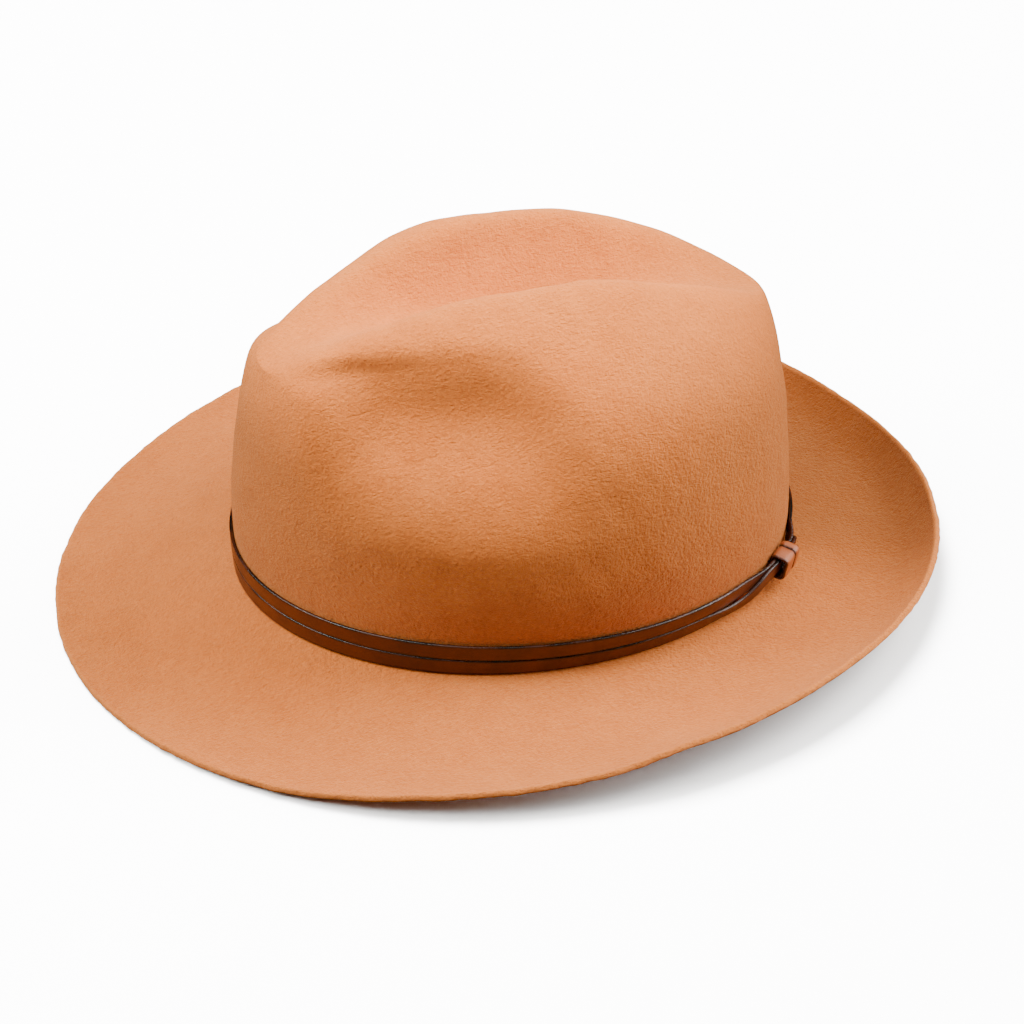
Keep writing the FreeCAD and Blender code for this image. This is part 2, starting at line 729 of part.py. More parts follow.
def make_stitches(doc, hat):
    """Stitches along the sweatband's foot, one block for each."""
    stitches = []
    count = int(hat.size("stitch_count"))
    length = hat.size("stitch_length")
    width = hat.size("stitch_width")
    off = hat.size("sweatband_thickness") + hat.size("stitch_gap")
    for number in range(count):
        angle = 2.0 * math.pi * (number + 0.5) / count
        out = hat.outward(angle)
        along = FreeCAD.Vector(-out.y, out.x, 0)
        place = hat.at_sweatband(angle, hat.size("stitch_height"), off)
        turn = FreeCAD.Rotation(along, FreeCAD.Vector(0, 0, 1), out * -1.0)
        block = Part.makeBox(length, width, hat.size("thread_thickness"))
        corner = place - along * (length / 2.0) - FreeCAD.Vector(0, 0, width / 2.0)
        block.Placement = FreeCAD.Placement(corner, turn)
        stitches.append(block)
    return add_feature(doc, "sweatband_stitches", Part.makeCompound(stitches))


def make_rear_bow(doc, hat):
    """Small flat ribbon bow over the sweatband's joint."""
    half_turn = math.radians(hat.size("bow_half_angle"))
    near = hat.size("sweatband_thickness") + hat.size("sewn_gap")
    thick = hat.size("bow_thickness")
    middle = hat.size("bow_height")

    def section(angle):
        share = smoothstep(abs(angle - math.pi) / half_turn * hat.size("bow_flare"))
        waist = hat.size("bow_waist")
        half = (waist + (hat.size("bow_width") - waist) * share) / 2.0
        return (
            hat.at_sweatband(angle, middle - half, near + thick),
            hat.at_sweatband(angle, middle - half, near),
            hat.at_sweatband(angle, middle + half, near),
            hat.at_sweatband(angle, middle + half, near + thick),
        )

    shares = [2.0 * step / BOW_STEPS - 1.0 for step in range(BOW_STEPS + 1)]
    angles = [math.pi + half_turn * share for share in shares]
    loops = strip_solid([section(angle) for angle in angles], closed=False)
    knot = Part.makeBox(hat.size("knot_width"), hat.size("knot_thickness"), hat.size("knot_tall"))
    corner = hat.at_sweatband(math.pi, middle, near + hat.size("knot_lift") + hat.size("knot_thickness"))
    corner += FreeCAD.Vector(-hat.size("knot_width") / 2.0, 0, -hat.size("knot_tall") / 2.0)
    knot.Placement = FreeCAD.Placement(corner, FreeCAD.Rotation())
    return add_feature(doc, "rear_bow", loops.fuse(knot))


def make_size_tab(doc, hat):
    """Blank woven tab on the sweatband, beside the bow."""
    tab = doc.addObject("Part::Box", "size_tab")
    tab.Label = "size_tab"
    tab.setExpression("Length", "Dimensions.tab_width")
    tab.setExpression("Width", "Dimensions.tab_tall")
    tab.setExpression("Height", "Dimensions.tab_thickness")
    angle = math.radians(hat.size("tab_angle"))
    off = hat.size("sweatband_thickness") + hat.size("tab_gap")
    foot = hat.at_sweatband(angle, hat.size("tab_height"), off)
    head = hat.at_sweatband(angle, hat.size("tab_height") + hat.size("tab_tall"), off)
    up = (head - foot).normalize()
    out = hat.outward(angle)
    along = FreeCAD.Vector(out.y, -out.x, 0)
    corner = foot - along * (hat.size("tab_width") / 2.0)
    tab.Placement = FreeCAD.Placement(corner, FreeCAD.Rotation(along, up, along.cross(up)))
    return tab


def make_lining_side(doc, hat):
    """Strip of lining from behind the sweatband up to the seam of its top."""
    cloth = hat.size("lining_cloth")
    gap = hat.size("sewn_gap")
    half_width = hat.size("lining_half_width")
    half_length = hat.size("lining_half_length")

    def seam_point(angle, less):
        x = (half_width - less) * math.sin(angle)
        y = -(half_length - less) * math.cos(angle)
        return FreeCAD.Vector(x, y + hat.shift.y, hat.size("lining_top"))

    def section(angle):
        start = hat.size("lining_start")
        band_top = hat.size("sweatband_start") + hat.size("sweatband_width")
        over_band = band_top + hat.size("lining_rise")
        return (
            hat.at_sweatband(angle, start, -gap),
            hat.at_sweatband(angle, start, -gap - cloth),
            hat.at_sweatband(angle, over_band, -gap - cloth),
            seam_point(angle, 0.0),
            seam_point(angle, cloth),
            hat.at_sweatband(angle, over_band, -gap),
        )

    return add_feature(doc, "lining_side", strip_solid([section(a) for a in around_hat()], closed=True))


def make_lining_tip(doc, hat):
    """Oval of lining that closes the top."""
    outline = doc.addObject("Part::Ellipse", "lining_tip_outline")
    outline.setExpression("MajorRadius", "Dimensions.lining_half_length")
    outline.setExpression("MinorRadius", "Dimensions.lining_half_width")
    tip = doc.addObject("Part::Extrusion", "lining_tip")
    tip.Label = "lining_tip"
    tip.Base = outline
    tip.DirMode = "Custom"
    tip.Dir = FreeCAD.Vector(0, 0, 1)
    tip.setExpression("LengthFwd", "Dimensions.lining_cloth")
    tip.Solid = True
    place = FreeCAD.Vector(0, hat.shift.y, hat.size("lining_top") + hat.size("sewn_gap"))
    tip.Placement = FreeCAD.Placement(place, FreeCAD.Rotation(FreeCAD.Vector(0, 0, 1), 90))
    return tip


def make_lining_piping(doc, hat):
    """Round piping along the seam between the lining's side and its top."""
    height = hat.size("lining_top") + hat.size("piping_rise")
    place = FreeCAD.Placement(FreeCAD.Vector(0, hat.shift.y, height), FreeCAD.Rotation())
    more = " + Dimensions.piping_radius + Dimensions.sewn_gap"
    return make_tube_on_oval(
        doc, "lining_piping",
        "Dimensions.lining_half_length" + more, "Dimensions.lining_half_width" + more,
        "Dimensions.piping_radius", place,
    )


def check_and_export(doc, pieces):
    for item in doc.Objects:
        if "Invalid" in item.State or "Error" in item.State:
            raise RuntimeError("failed: " + item.Label)
    for piece in pieces:
        if piece.Shape.isNull() or not piece.Shape.isValid():
            raise RuntimeError("bad shape: " + piece.Label)
    os.makedirs("parts", exist_ok=True)
    for piece in pieces:
        piece.Shape.exportStep("parts/%s.step" % piece.Label)


def build_hat():
    doc = FreeCAD.newDocument("Fedora")
    hat = HatShape(make_sheet(doc))
    pieces = [
        make_felt_body(doc, hat),
        make_strap(doc, hat, "band_strap_upper", upper=True),
        make_strap(doc, hat, "band_strap_lower", upper=False),
        make_band_tacks(doc, hat),
        make_sweatband(doc, hat),
        make_reed_tape(doc, hat),
        make_joint_tape(doc, hat),
        make_reed(doc, hat),
        make_stitches(doc, hat),
        make_rear_bow(doc, hat),
        make_size_tab(doc, hat),
        make_lining_side(doc, hat),
        make_lining_tip(doc, hat),
        make_lining_piping(doc, hat),
    ]
    pieces += make_keeper(doc, hat)
    doc.recompute()
    check_and_export(doc, pieces)


build_hat()
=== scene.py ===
import math

import bmesh
import bpy
import numpy as np
from mathutils import Matrix, Vector


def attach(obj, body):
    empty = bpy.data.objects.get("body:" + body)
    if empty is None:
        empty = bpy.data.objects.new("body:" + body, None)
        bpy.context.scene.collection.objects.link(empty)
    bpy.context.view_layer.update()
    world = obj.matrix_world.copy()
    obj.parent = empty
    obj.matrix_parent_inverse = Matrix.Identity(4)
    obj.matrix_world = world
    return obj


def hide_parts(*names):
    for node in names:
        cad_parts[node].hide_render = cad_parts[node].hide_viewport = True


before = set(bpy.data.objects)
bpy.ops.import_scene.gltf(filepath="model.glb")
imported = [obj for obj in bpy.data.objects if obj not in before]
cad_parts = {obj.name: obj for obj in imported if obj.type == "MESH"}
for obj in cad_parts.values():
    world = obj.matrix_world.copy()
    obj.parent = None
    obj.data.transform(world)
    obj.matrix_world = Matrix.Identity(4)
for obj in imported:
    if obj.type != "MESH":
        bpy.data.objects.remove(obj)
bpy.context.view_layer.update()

# The looks of the felt fedora. All shapes are worked out in millimetres from the hat's driving
# dimensions and turned into metres when a mesh is made. Angles run round the hat from the front (0)
# over the wearer's left (90 degrees) to the back (180).

MM = 0.001
FULL_TURN = 2.0 * math.pi

# Head opening and felt
CROWN_HALF_LENGTH = 103.0
CROWN_HALF_WIDTH = 85.0
BREAK_HEIGHT = 10.75
BREAK_RISE_FRONT = 2.75
CROWN_FELT = 2.0
BRIM_FELT = 2.2
# Brim: mean, front, ends and corner terms of a cosine series round the hat
BRIM_WIDTH = (61.0, 6.0, -0.5, 0.0)
BRIM_FALL = (-14.0, -2.5, -2.5, 0.0)
BRIM_CURL = (14.85, -7.5, -1.6, 1.6)
BRIM_CURL_POWER = (3.6, -0.6)
# Crown rings: half width, reach to the front, reach to the back, narrowing at the front,
# and height as mean, front and ends terms
CROWN_RINGS = (
    (94.0, 105.0, 101.5, 0.06, 34.5, 11.0, 0.0),
    (82.0, 97.0, 101.5, 0.0, 88.0, 11.0, 1.0),
    (51.0, 94.0, 97.5, 0.02, 107.0, 6.0, -7.0),
    (27.0, 96.0, 98.0, 0.14, 117.0, 6.0, -17.5),
    (21.0, 70.0, 64.0, 0.25, 114.5, 7.0, -7.0),
    (9.0, 38.0, 32.0, 0.0, 103.5, 7.0, 0.0),
)
CROWN_END = len(CROWN_RINGS) + 1.0
CREASE_BOTTOM = 102.0
PINCH_DEPTH = 17.0
PINCH_ANGLE = math.radians(55.0)
PINCH_SPREAD = math.radians(27.0)
PINCH_HEIGHT = 84.0
PINCH_REACH_UP = 30.0
PINCH_REACH_DOWN = 38.0
# The crown's wall ends at this ring, and a height on it is found by halving
WALL_TOP = 3.0
WALL_HALVINGS = 20
# Steps over which the lowest point of the brim is looked for, and the angle between them
STANDING_STEPS = 20
STANDING_ANGLE = 4.0
# A small step on a surface, to find which way it faces
TOUCH = 0.001
# Hat band and keeper
STRAP_WIDTH = 6.5
STRAP_THICKNESS = 1.2
STRAP_GAP = 0.3
STRAP_SEAM = 0.15
STRAP_JOINT = 0.5
LOWER_STRAP_HEIGHT = 0.6
UPPER_STRAP_DROP = 1.15
LOWER_STRAP_RISE = 5.5
OVERLAP = 9.4
CROSSING_FRONT = 18.0
CROSSING_BACK = 12.0
KEEPER_ANGLE = math.radians(135.0)
KEEPER_FELT_GAP = 0.4
KEEPER_WALL = 1.0
KEEPER_PLAY = 0.45
KEEPER_HEADROOM = 1.8
KEEPER_WIDE = 7.4
KEEPER_NARROW = 3.8
KEEPER_SPLIT = 0.15
# Sweatband and what is sewn to it
SWEATBAND_WIDTH = 35.0
SWEATBAND_THICKNESS = 0.9
SWEATBAND_INSET = 2.95
SWEATBAND_LEAN = 2.0
SWEATBAND_START = 1.2
SWEATBAND_JOINT = 0.6
# Lining
LINING_CLOTH = 0.25
LINING_START = 25.0
LINING_RISE = 1.5
LINING_HALF_LENGTH = 83.0
LINING_HALF_WIDTH = 64.0
LINING_TOP = 77.0
PIPING_RISE = 0.5
PIPING_RADIUS = 0.8
SEWN_GAP = 0.1


# ---- small helpers

def smoothstep(value):
    value = np.clip(value, 0.0, 1.0)
    return value * value * (3.0 - 2.0 * value)


def unit(vectors):
    return vectors / np.linalg.norm(vectors, axis=-1, keepdims=True)


def xyz(x, y, z):
    return np.stack(np.broadcast_arrays(x, y, z), axis=-1).astype(float)


def cosine_series(terms, angle):
    return sum(term * np.cos(times * angle) for times, term in enumerate(terms))


def ripple(points, wavelength, seed, waves=12):
    """Smooth noise of about unit height: a sum of seeded plane waves."""
    draw = np.random.default_rng(seed)
    total = np.zeros(points.shape[:-1])
    for _ in range(waves):
        direction = unit(draw.normal(size=3))
        stretch = draw.uniform(0.7, 1.5)
        phase = draw.uniform(0.0, FULL_TURN)
        total += np.sin(points @ direction * (FULL_TURN * stretch / wavelength) + phase)
    return total * math.sqrt(2.0 / waves)


def unevenness(points, layers):
    """Ripples laid over one another, each given by its wavelength, seed and height."""
    return sum(ripple(points, wavelength, seed) * height for wavelength, seed, height in layers)


def add_mesh(name, vertices, faces):
    mesh = bpy.data.meshes.new(name)
    mesh.from_pydata((np.asarray(vertices) * MM).tolist(), [], faces)
    mesh.update()
    mesh.polygons.foreach_set("use_smooth", [True] * len(mesh.polygons))
    piece = bpy.data.objects.new(name, mesh)
    bpy.context.scene.collection.objects.link(piece)
    return piece


def face_outwards(piece):
    """Makes a closed mesh's faces all point outwards."""
    mesh = bmesh.new()
    mesh.from_mesh(piece.data)
    bmesh.ops.recalc_face_normals(mesh, faces=mesh.faces)
    mesh.to_mesh(piece.data)
    mesh.free()
    return piece


def skin_faces(rows, columns, wrap_rows=False, first=0):
    """Quads over rows of points, each row closed; wrap_rows joins the last row to the first."""
    faces = []
    for row in range(rows if wrap_rows else rows - 1):
        below = first + row * columns
        above = first + ((row + 1) % rows) * columns
        for column in range(columns):
            after = (column + 1) % columns
            faces.append((below + column, below + after, above + after, above + column))
    return faces


def capped_faces(rows, columns, first=0):
    """The same, with the first and last rows capped."""
    last = first + (rows - 1) * columns
    caps = [tuple(reversed(range(first, first + columns))), tuple(range(last, last + columns))]
    return skin_faces(rows, columns, first=first) + caps


def fan_faces(centre, start, columns):
    return [(centre, start + (column + 1) % columns, start + column) for column in range(columns)]


def pointed_mesh(name, rows, poles):
    """Closed mesh over rows of points, with a single point at each end."""
    count, columns, _ = rows.shape
    vertices = np.concatenate([rows.reshape(-1, 3), poles])
    faces = skin_faces(count, columns)
    faces += fan_faces(count * columns, 0, columns)
    faces += fan_faces(count * columns + 1, (count - 1) * columns, columns)
    return face_outwards(add_mesh(name, vertices, faces))


def ring_strip(name, sections, closed):
    """Strip along sections, an array of section by corner by xyz; its ends are capped if it's open."""
    count, corners, _ = sections.shape
    faces = skin_faces(count, corners, wrap_rows=True) if closed else capped_faces(count, corners)
    return face_outwards(add_mesh(name, sections.reshape(-1, 3), faces))


def mark(piece, name, values):
    """Stores a number for each vertex, which a material reads."""
    attribute = piece.data.attributes.new(name, "FLOAT", "POINT")
    attribute.data.foreach_set("value", np.asarray(values, np.float32).ravel())


def settle(piece, material, node, body="hat"):
    """Gives a piece its material, the body it moves with and the CAD node that it stands for."""
    piece.data.materials.append(material)
    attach(piece, body)
    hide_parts(node)
    return piece


# ---- the hat's surfaces, in millimetres

def oval(half_width, half_length, angle, height=0.0):
    return xyz(half_width * np.sin(angle), -half_length * np.cos(angle), height)


def break_point(angle):
    height = BREAK_HEIGHT + BREAK_RISE_FRONT * np.cos(angle)
    return oval(CROWN_HALF_WIDTH, CROWN_HALF_LENGTH, angle, height) + SHIFT


def outward(angle):
    return unit(oval(CROWN_HALF_LENGTH, CROWN_HALF_WIDTH, angle))


def brim_point(across, angle):
    """Top of the brim; across runs from 0 at the break to 1 at the edge."""
    rise = cosine_series(BRIM_FALL, angle) * across
    power = cosine_series(BRIM_CURL_POWER, angle)
    rise = rise + cosine_series(BRIM_CURL, angle) * np.maximum(across, 0.0) ** power
    level = outward(angle) * (cosine_series(BRIM_WIDTH, angle) * across)[..., None]
    return break_point(angle) + level + xyz(0.0, 0.0, rise)


def ring_point(ring, angle):
    half_width, front, back, taper, height, height_front, height_ends = ring
    x = half_width * np.sin(angle) * (1.0 - taper * np.cos(angle))
    y = (back - front) / 2.0 - (back + front) / 2.0 * np.cos(angle)
    return xyz(x, y, cosine_series((height, height_front, height_ends), angle)) + SHIFT


def crown_point(up, angle):
    """Outside of the crown; up runs from 0 at the break to CROWN_END, down in the top crease."""
    start = break_point(angle)
    rings = [ring_point(ring, angle) for ring in CROWN_RINGS]
    floor = CROWN_RINGS[-1]
    bottom = xyz(0.0 * angle, (floor[2] - floor[1]) / 2.0, CREASE_BOTTOM) + SHIFT
    controls = [2.0 * start - rings[0], start] + rings + [bottom, ring_point(floor, angle + math.pi)]
    controls = np.stack([np.broadcast_to(c, start.shape) for c in controls])
    first = np.clip(np.floor(up).astype(int), 0, len(CROWN_RINGS))
    part = up - first
    weights = (
        (1.0 - part) ** 3 / 6.0,
        (3.0 * part ** 3 - 6.0 * part ** 2 + 4.0) / 6.0,
        (-3.0 * part ** 3 + 3.0 * part ** 2 + 3.0 * part + 1.0) / 6.0,
        part ** 3 / 6.0,
    )
    place = np.zeros(start.shape)
    for step, weight in enumerate(weights):
        picked = np.take_along_axis(controls, (first + step)[None, ..., None], axis=0)[0]
        place = place + picked * weight[..., None]
    return place - outward(angle) * pinch(up, angle, place[..., 2] - start[..., 2])[..., None]


def pinch(up, angle, height):
    """How far the side hollow pushes the crown's wall inwards."""
    turn = np.arctan2(np.sin(angle), np.cos(angle))
    sideways = (np.abs(turn) - PINCH_ANGLE) / PINCH_SPREAD
    lift = height - PINCH_HEIGHT
    level = smoothstep(1.0 - np.abs(lift) / np.where(lift > 0.0, PINCH_REACH_UP, PINCH_REACH_DOWN))
    return PINCH_DEPTH * (1.0 - smoothstep(up - WALL_TOP)) * level * np.exp(-sideways ** 4)


def normal(surface, first, angle):
    """Points out of the crown and down from the brim."""
    along = surface(first + TOUCH, angle) - surface(first - TOUCH, angle)
    around = surface(first, angle + TOUCH) - surface(first, angle - TOUCH)
    return unit(np.cross(around, along))


def standing_shift():
    """Moves the hat onto the floor, with the origin at the middle of its box."""
    angle = np.radians(np.arange(0.0, 360.0, STANDING_ANGLE))
    across = np.linspace(1.0 / STANDING_STEPS, 1.0, STANDING_STEPS)
    across, angle = np.meshgrid(across, angle, indexing="ij")
    top = brim_point(across, angle)
    edge_y = top[-1, :, 1]
    under = top + normal(brim_point, across, angle) * BRIM_FELT
    return np.array([0.0, -(edge_y.min() + edge_y.max()) / 2.0, -under[..., 2].min()])


# The shift is measured on the hat before it's moved
SHIFT = np.zeros(3)
SHIFT = standing_shift()


def bulge(angle, above):
    """How far the crown's wall stands outside the break at a height above it."""
    start = break_point(angle)
    low = np.zeros(np.shape(angle))
    high = low + WALL_TOP
    for _ in range(WALL_HALVINGS):
        middle = (low + high) / 2.0
        under = crown_point(middle, angle)[..., 2] < start[..., 2] + above
        low = np.where(under, middle, low)
        high = np.where(under, high, middle)
    return ((crown_point(low, angle) - start) * outward(angle)).sum(axis=-1)


def at_break(angle, above, off):
    """Point at a height above the break; off is outwards."""
    off = np.broadcast_to(off, np.shape(angle))
    return break_point(angle) + outward(angle) * off[..., None] + xyz(0.0, 0.0, above)


def at_sweatband(angle, above, off):
    """The same, with off counted inwards from the side of the sweatband that faces the felt."""
    inset = SWEATBAND_INSET + SWEATBAND_LEAN * (above - SWEATBAND_START) / SWEATBAND_WIDTH
    return at_break(angle, above, -inset - off)


SPEED_AT_KEEPER = math.hypot(
    CROWN_HALF_WIDTH * math.cos(KEEPER_ANGLE), CROWN_HALF_LENGTH * math.sin(KEEPER_ANGLE)
)


def strap_crossing(angle, lead):
    """0 where the straps lie one above the other, 1 where they lie one over the other."""
    turn = angle - KEEPER_ANGLE
    distance = np.arctan2(np.sin(turn), np.cos(turn)) * SPEED_AT_KEEPER
    length = np.where(distance > 0, CROSSING_BACK, CROSSING_FRONT)
    return smoothstep(1.0 - (np.abs(distance) - OVERLAP) / length + lead)


def strap_middle(angle, upper):
    middle = LOWER_STRAP_HEIGHT + STRAP_WIDTH / 2.0
    crossed = strap_crossing(angle, 0.0)
    if not upper:
        return middle + LOWER_STRAP_RISE * crossed
    return middle + STRAP_WIDTH + STRAP_SEAM - UPPER_STRAP_DROP * crossed


def wall_tilt(angle, above):
    reach = STRAP_WIDTH / 2.0
    rise = bulge(angle, above + reach) - bulge(angle, above - reach)
    return np.arctan2(rise, 2.0 * reach)


def strap_frame(angle, upper):
    """Point on the felt behind a strap's middle, the way up the strap and the way off it."""
    middle = strap_middle(angle, upper)
    share = strap_crossing(angle, 0.0)
    at_keeper = (KEEPER_ANGLE, strap_middle(KEEPER_ANGLE, upper))
    out = bulge(angle, middle) * (1.0 - share) + bulge(*at_keeper) * share
    tilt = wall_tilt(angle, middle) * (1.0 - share) + wall_tilt(*at_keeper) * share
    level = outward(angle)
    up = level * np.sin(tilt)[..., None] + xyz(0.0, 0.0, np.cos(tilt))
    off = level * np.cos(tilt)[..., None] - xyz(0.0, 0.0, np.sin(tilt))
    return at_break(angle, middle, out), up, off


# ---- materials

class Nodes:
    """Short way to write a procedural material. Its sockets take numbers, colours or other nodes."""

    def __init__(self, name):
        self.material = bpy.data.materials.new(name)
        self.material.use_nodes = True
        self.tree = self.material.node_tree
        self.shader = self.tree.nodes["Principled BSDF"]
        self.place = self.add("ShaderNodeTexCoord")["Object"]

    def add(self, kind, inputs=(), **settings):
        """Adds a node with its settings and inputs, and gives back its outputs."""
        node = self.tree.nodes.new(kind)
        for key, value in settings.items():
            setattr(node, key, value)
        for key, source in dict(inputs).items():
            self.feed(node.inputs[key], source)
        return node.outputs

    def feed(self, socket, source):
        """Links a socket, or sets it to a plain value."""
        if isinstance(source, bpy.types.NodeSocket):
            self.tree.links.new(source, socket)
        else:
            socket.default_value = source

    def attribute(self, name):
        return self.add("ShaderNodeAttribute", attribute_name=name)["Fac"]

    def stretched(self, scale, turn=(0.0, 0.0, 0.0)):
        inputs = {"Vector": self.place, "Rotation": turn, "Scale": scale}
        return self.add("ShaderNodeMapping", inputs)["Vector"]

    def noise(self, scale, detail=2.0, roughness=0.5, vector=None):
        inputs = {"Vector": vector or self.place, "Scale": scale, "Detail": detail, "Roughness": roughness}
        return self.add("ShaderNodeTexNoise", inputs)["Fac"]

    def cracks(self, scale):
        """Distance to the nearest border between irregular cells."""
        inputs = {"Vector": self.place, "Scale": scale}
        return self.add("ShaderNodeTexVoronoi", inputs, feature="DISTANCE_TO_EDGE")["Distance"]

    def maths(self, operation, first, second):
        return self.add("ShaderNodeMath", {0: first, 1: second}, operation=operation)[0]

    def ramp(self, source, low, high, from_value=0.0, to_value=1.0):
        inputs = enumerate((source, low, high, from_value, to_value))
        return self.add("ShaderNodeMapRange", inputs, clamp=True)["Result"]

    def mix(self, share, first, second):
        return self.add("ShaderNodeMix", {0: share, 6: first, 7: second}, data_type="RGBA")[2]

    def bump(self, height, depth, strength=1.0, after=None):
        """Bump of a depth in metres; after is the bump that it's laid over."""
        inputs = {"Height": height, "Distance": depth, "Strength": strength}
        if after is not None:
            inputs["Normal"] = after
        return self.add("ShaderNodeBump", inputs)["Normal"]

    def finish(self, **inputs):
        for name, source in inputs.items():
            self.feed(self.shader.inputs[name.replace("_", " ")], source)
        return self.material


def colour(red, green, blue):
    return (red, green, blue, 1.0)


FELT_COLOUR = colour(0.430, 0.118, 0.021)
FELT_WARM = colour(0.415, 0.109, 0.018)
FELT_DARK = colour(0.310, 0.072, 0.010)
FELT_LIGHT = colour(0.540, 0.172, 0.038)
# What the felt's colour is multiplied by where its painted light is least and most: a painted-shade and a
# painted-highlight copy of each colour
PAINTED_LIGHT_FACTORS = (0.70, 1.85)
FELT_SHEEN = colour(1.0, 0.56, 0.26)
# Scales of the felt's grain, from fine to broad, for each metre
STREAKS = (1250.0, 430.0, 1250.0)
STREAK_TURNS = ((0.3, 0.7, 0.2), (1.2, 0.4, 1.9), (2.2, 1.5, 0.9))
PILE = 700.0
NAP = 95.0
CLOUD = 24.0
FELT_RELIEF = 0.0022
# How much smoother a strap's painted rim is
RIM_POLISH = 0.24


def felt_material():
    m = Nodes("wool_felt")
    edge = m.attribute("edge")
    layers = [m.noise(1.0, 3.0, 0.6, m.stretched(STREAKS, turn)) for turn in STREAK_TURNS]
    streaks = m.maths("MAXIMUM", m.maths("MAXIMUM", layers[0], layers[1]), layers[2])
    pile = m.noise(PILE, 4.0, 0.72)
    nap = m.noise(NAP, 4.0, 0.6)
    cloud = m.noise(CLOUD, 3.0, 0.55)
    # Painted light and shade: this attribute mixes a painted-shade copy and a painted-highlight copy of
    # each felt colour
    painted_light = m.attribute("painted_light")

    def painted_light_tone(tone):
        shades = [colour(*(value * factor for value in tone[:3])) for factor in PAINTED_LIGHT_FACTORS]
        return m.mix(painted_light, *shades)

    base = m.mix(m.ramp(cloud, 0.35, 0.65), painted_light_tone(FELT_COLOUR), painted_light_tone(FELT_WARM))
    base = m.mix(m.ramp(nap, 0.40, 0.68, 0.0, 0.22), base, painted_light_tone(FELT_DARK))
    base = m.mix(m.ramp(streaks, 0.58, 0.80, 0.0, 0.70), base, painted_light_tone(FELT_LIGHT))
    base = m.mix(m.ramp(pile, 0.50, 0.70, 0.0, 0.60), base, painted_light_tone(FELT_DARK))
    # The brim's cut edge is painted lighter: a painted sheen on its fuzz
    base = m.mix(m.maths("MULTIPLY", edge, 0.55), base, FELT_LIGHT)
    height = m.maths("ADD", m.maths("MULTIPLY", streaks, 0.55), m.maths("MULTIPLY", pile, 0.6))
    under = m.bump(nap, FELT_RELIEF, 0.35)
    return m.finish(
        Base_Color=base,
        Roughness=0.93,
        Specular_IOR_Level=0.08,
        Sheen_Weight=0.28,
        Sheen_Roughness=0.42,
        Sheen_Tint=FELT_SHEEN,
        Normal=m.bump(height, FELT_RELIEF, 0.95, under),
    )


def leather_material(name, base, dark, rim, roughness, grain, depth):
    """Finished leather with fine grain, worn a little unevenly, and a painted rim."""
    m = Nodes(name)
    edge = m.attribute("edge")
    patch = m.noise(70.0, 4.0, 0.6)
    creases = m.cracks(grain)
    pores = m.noise(grain * 2.2, 3.0, 0.55)
    tone = m.mix(m.ramp(patch, 0.35, 0.68), base, dark)
    tone = m.mix(m.ramp(creases, 0.0, 0.12, 0.35, 0.0), tone, dark)
    tone = m.mix(edge, tone, rim)
    height = m.maths("ADD", m.ramp(creases, 0.0, 0.25), m.maths("MULTIPLY", pores, 0.5))
    shine = m.ramp(patch, 0.3, 0.7, roughness - 0.05, roughness + 0.09)
    shine = m.maths("SUBTRACT", shine, m.maths("MULTIPLY", edge, RIM_POLISH))
    return m.finish(
        Base_Color=tone,
        Roughness=shine,
        Specular_IOR_Level=0.32,
        Coat_Weight=0.05,
        Coat_Roughness=0.35,
        Normal=m.bump(height, depth, 0.6),
    )


def satin_material(name, base, dark):
    """Woven satin: fine threads along the piece and a broad, soft shine."""
    m = Nodes(name)
    threads = m.noise(1.0, 2.0, 0.5, m.stretched((2600.0, 2600.0, 380.0)))
    shade = m.noise(45.0, 3.0, 0.5)
    tone = m.mix(m.ramp(shade, 0.35, 0.65, 0.0, 0.5), base, dark)
    tone = m.mix(m.ramp(threads, 0.5, 0.75, 0.0, 0.35), tone, dark)
    return m.finish(
        Base_Color=tone,
        Roughness=0.36,
        Specular_IOR_Level=0.55,
        Sheen_Weight=0.2,
        Anisotropic=0.5,
        Normal=m.bump(threads, 0.00012, 0.5),
    )


def cloth_material(name, base, dark, ribs=0.0):
    """Plain woven tape; ribs run across it when their number along the piece is given."""
    m = Nodes(name)
    warp = m.noise(1.0, 1.0, 0.4, m.stretched((2100.0, 2100.0, 500.0)))
    weft = m.noise(1.0, 1.0, 0.4, m.stretched((500.0, 500.0, 2300.0)))
    weave = m.maths("MAXIMUM", warp, weft)
    tone = m.mix(m.ramp(weave, 0.45, 0.75), dark, base)
    normal = m.bump(weave, 0.0002, 0.7)
    if ribs:
        rib = m.maths("SINE", m.maths("MULTIPLY", m.attribute("along"), ribs * FULL_TURN), 0.0)
        tone = m.mix(m.ramp(rib, -1.0, 0.3, 0.5, 0.0), tone, dark)
        normal = m.bump(rib, 0.00018, 0.9, normal)
    return m.finish(
        Base_Color=tone, Roughness=0.82, Specular_IOR_Level=0.25, Sheen_Weight=0.25, Normal=normal
    )


def thread_material():
    m = Nodes("thread")
    ply = m.noise(1.0, 1.0, 0.4, m.stretched((3000.0, 3000.0, 3000.0), (0.6, 0.6, 0.6)))
    tone = m.mix(m.ramp(ply, 0.4, 0.7), colour(0.50, 0.30, 0.15), colour(0.30, 0.16, 0.07))
    return m.finish(
        Base_Color=tone, Roughness=0.6, Sheen_Weight=0.3, Normal=m.bump(ply, 0.0001, 0.8)
    )


def reed_material():
    m = Nodes("reed_plastic")
    streaks = m.noise(1.0, 2.0, 0.5, m.stretched((400.0, 400.0, 2500.0)))
    tone = m.mix(m.ramp(streaks, 0.4, 0.6), colour(0.78, 0.76, 0.70), colour(0.66, 0.64, 0.58))
    return m.finish(
        Base_Color=tone,
        Roughness=m.ramp(streaks, 0.3, 0.7, 0.25, 0.4),
        Subsurface_Weight=0.2,
        Subsurface_Radius=(0.001, 0.001, 0.001),
        Normal=m.bump(streaks, 0.00005, 0.5),
    )


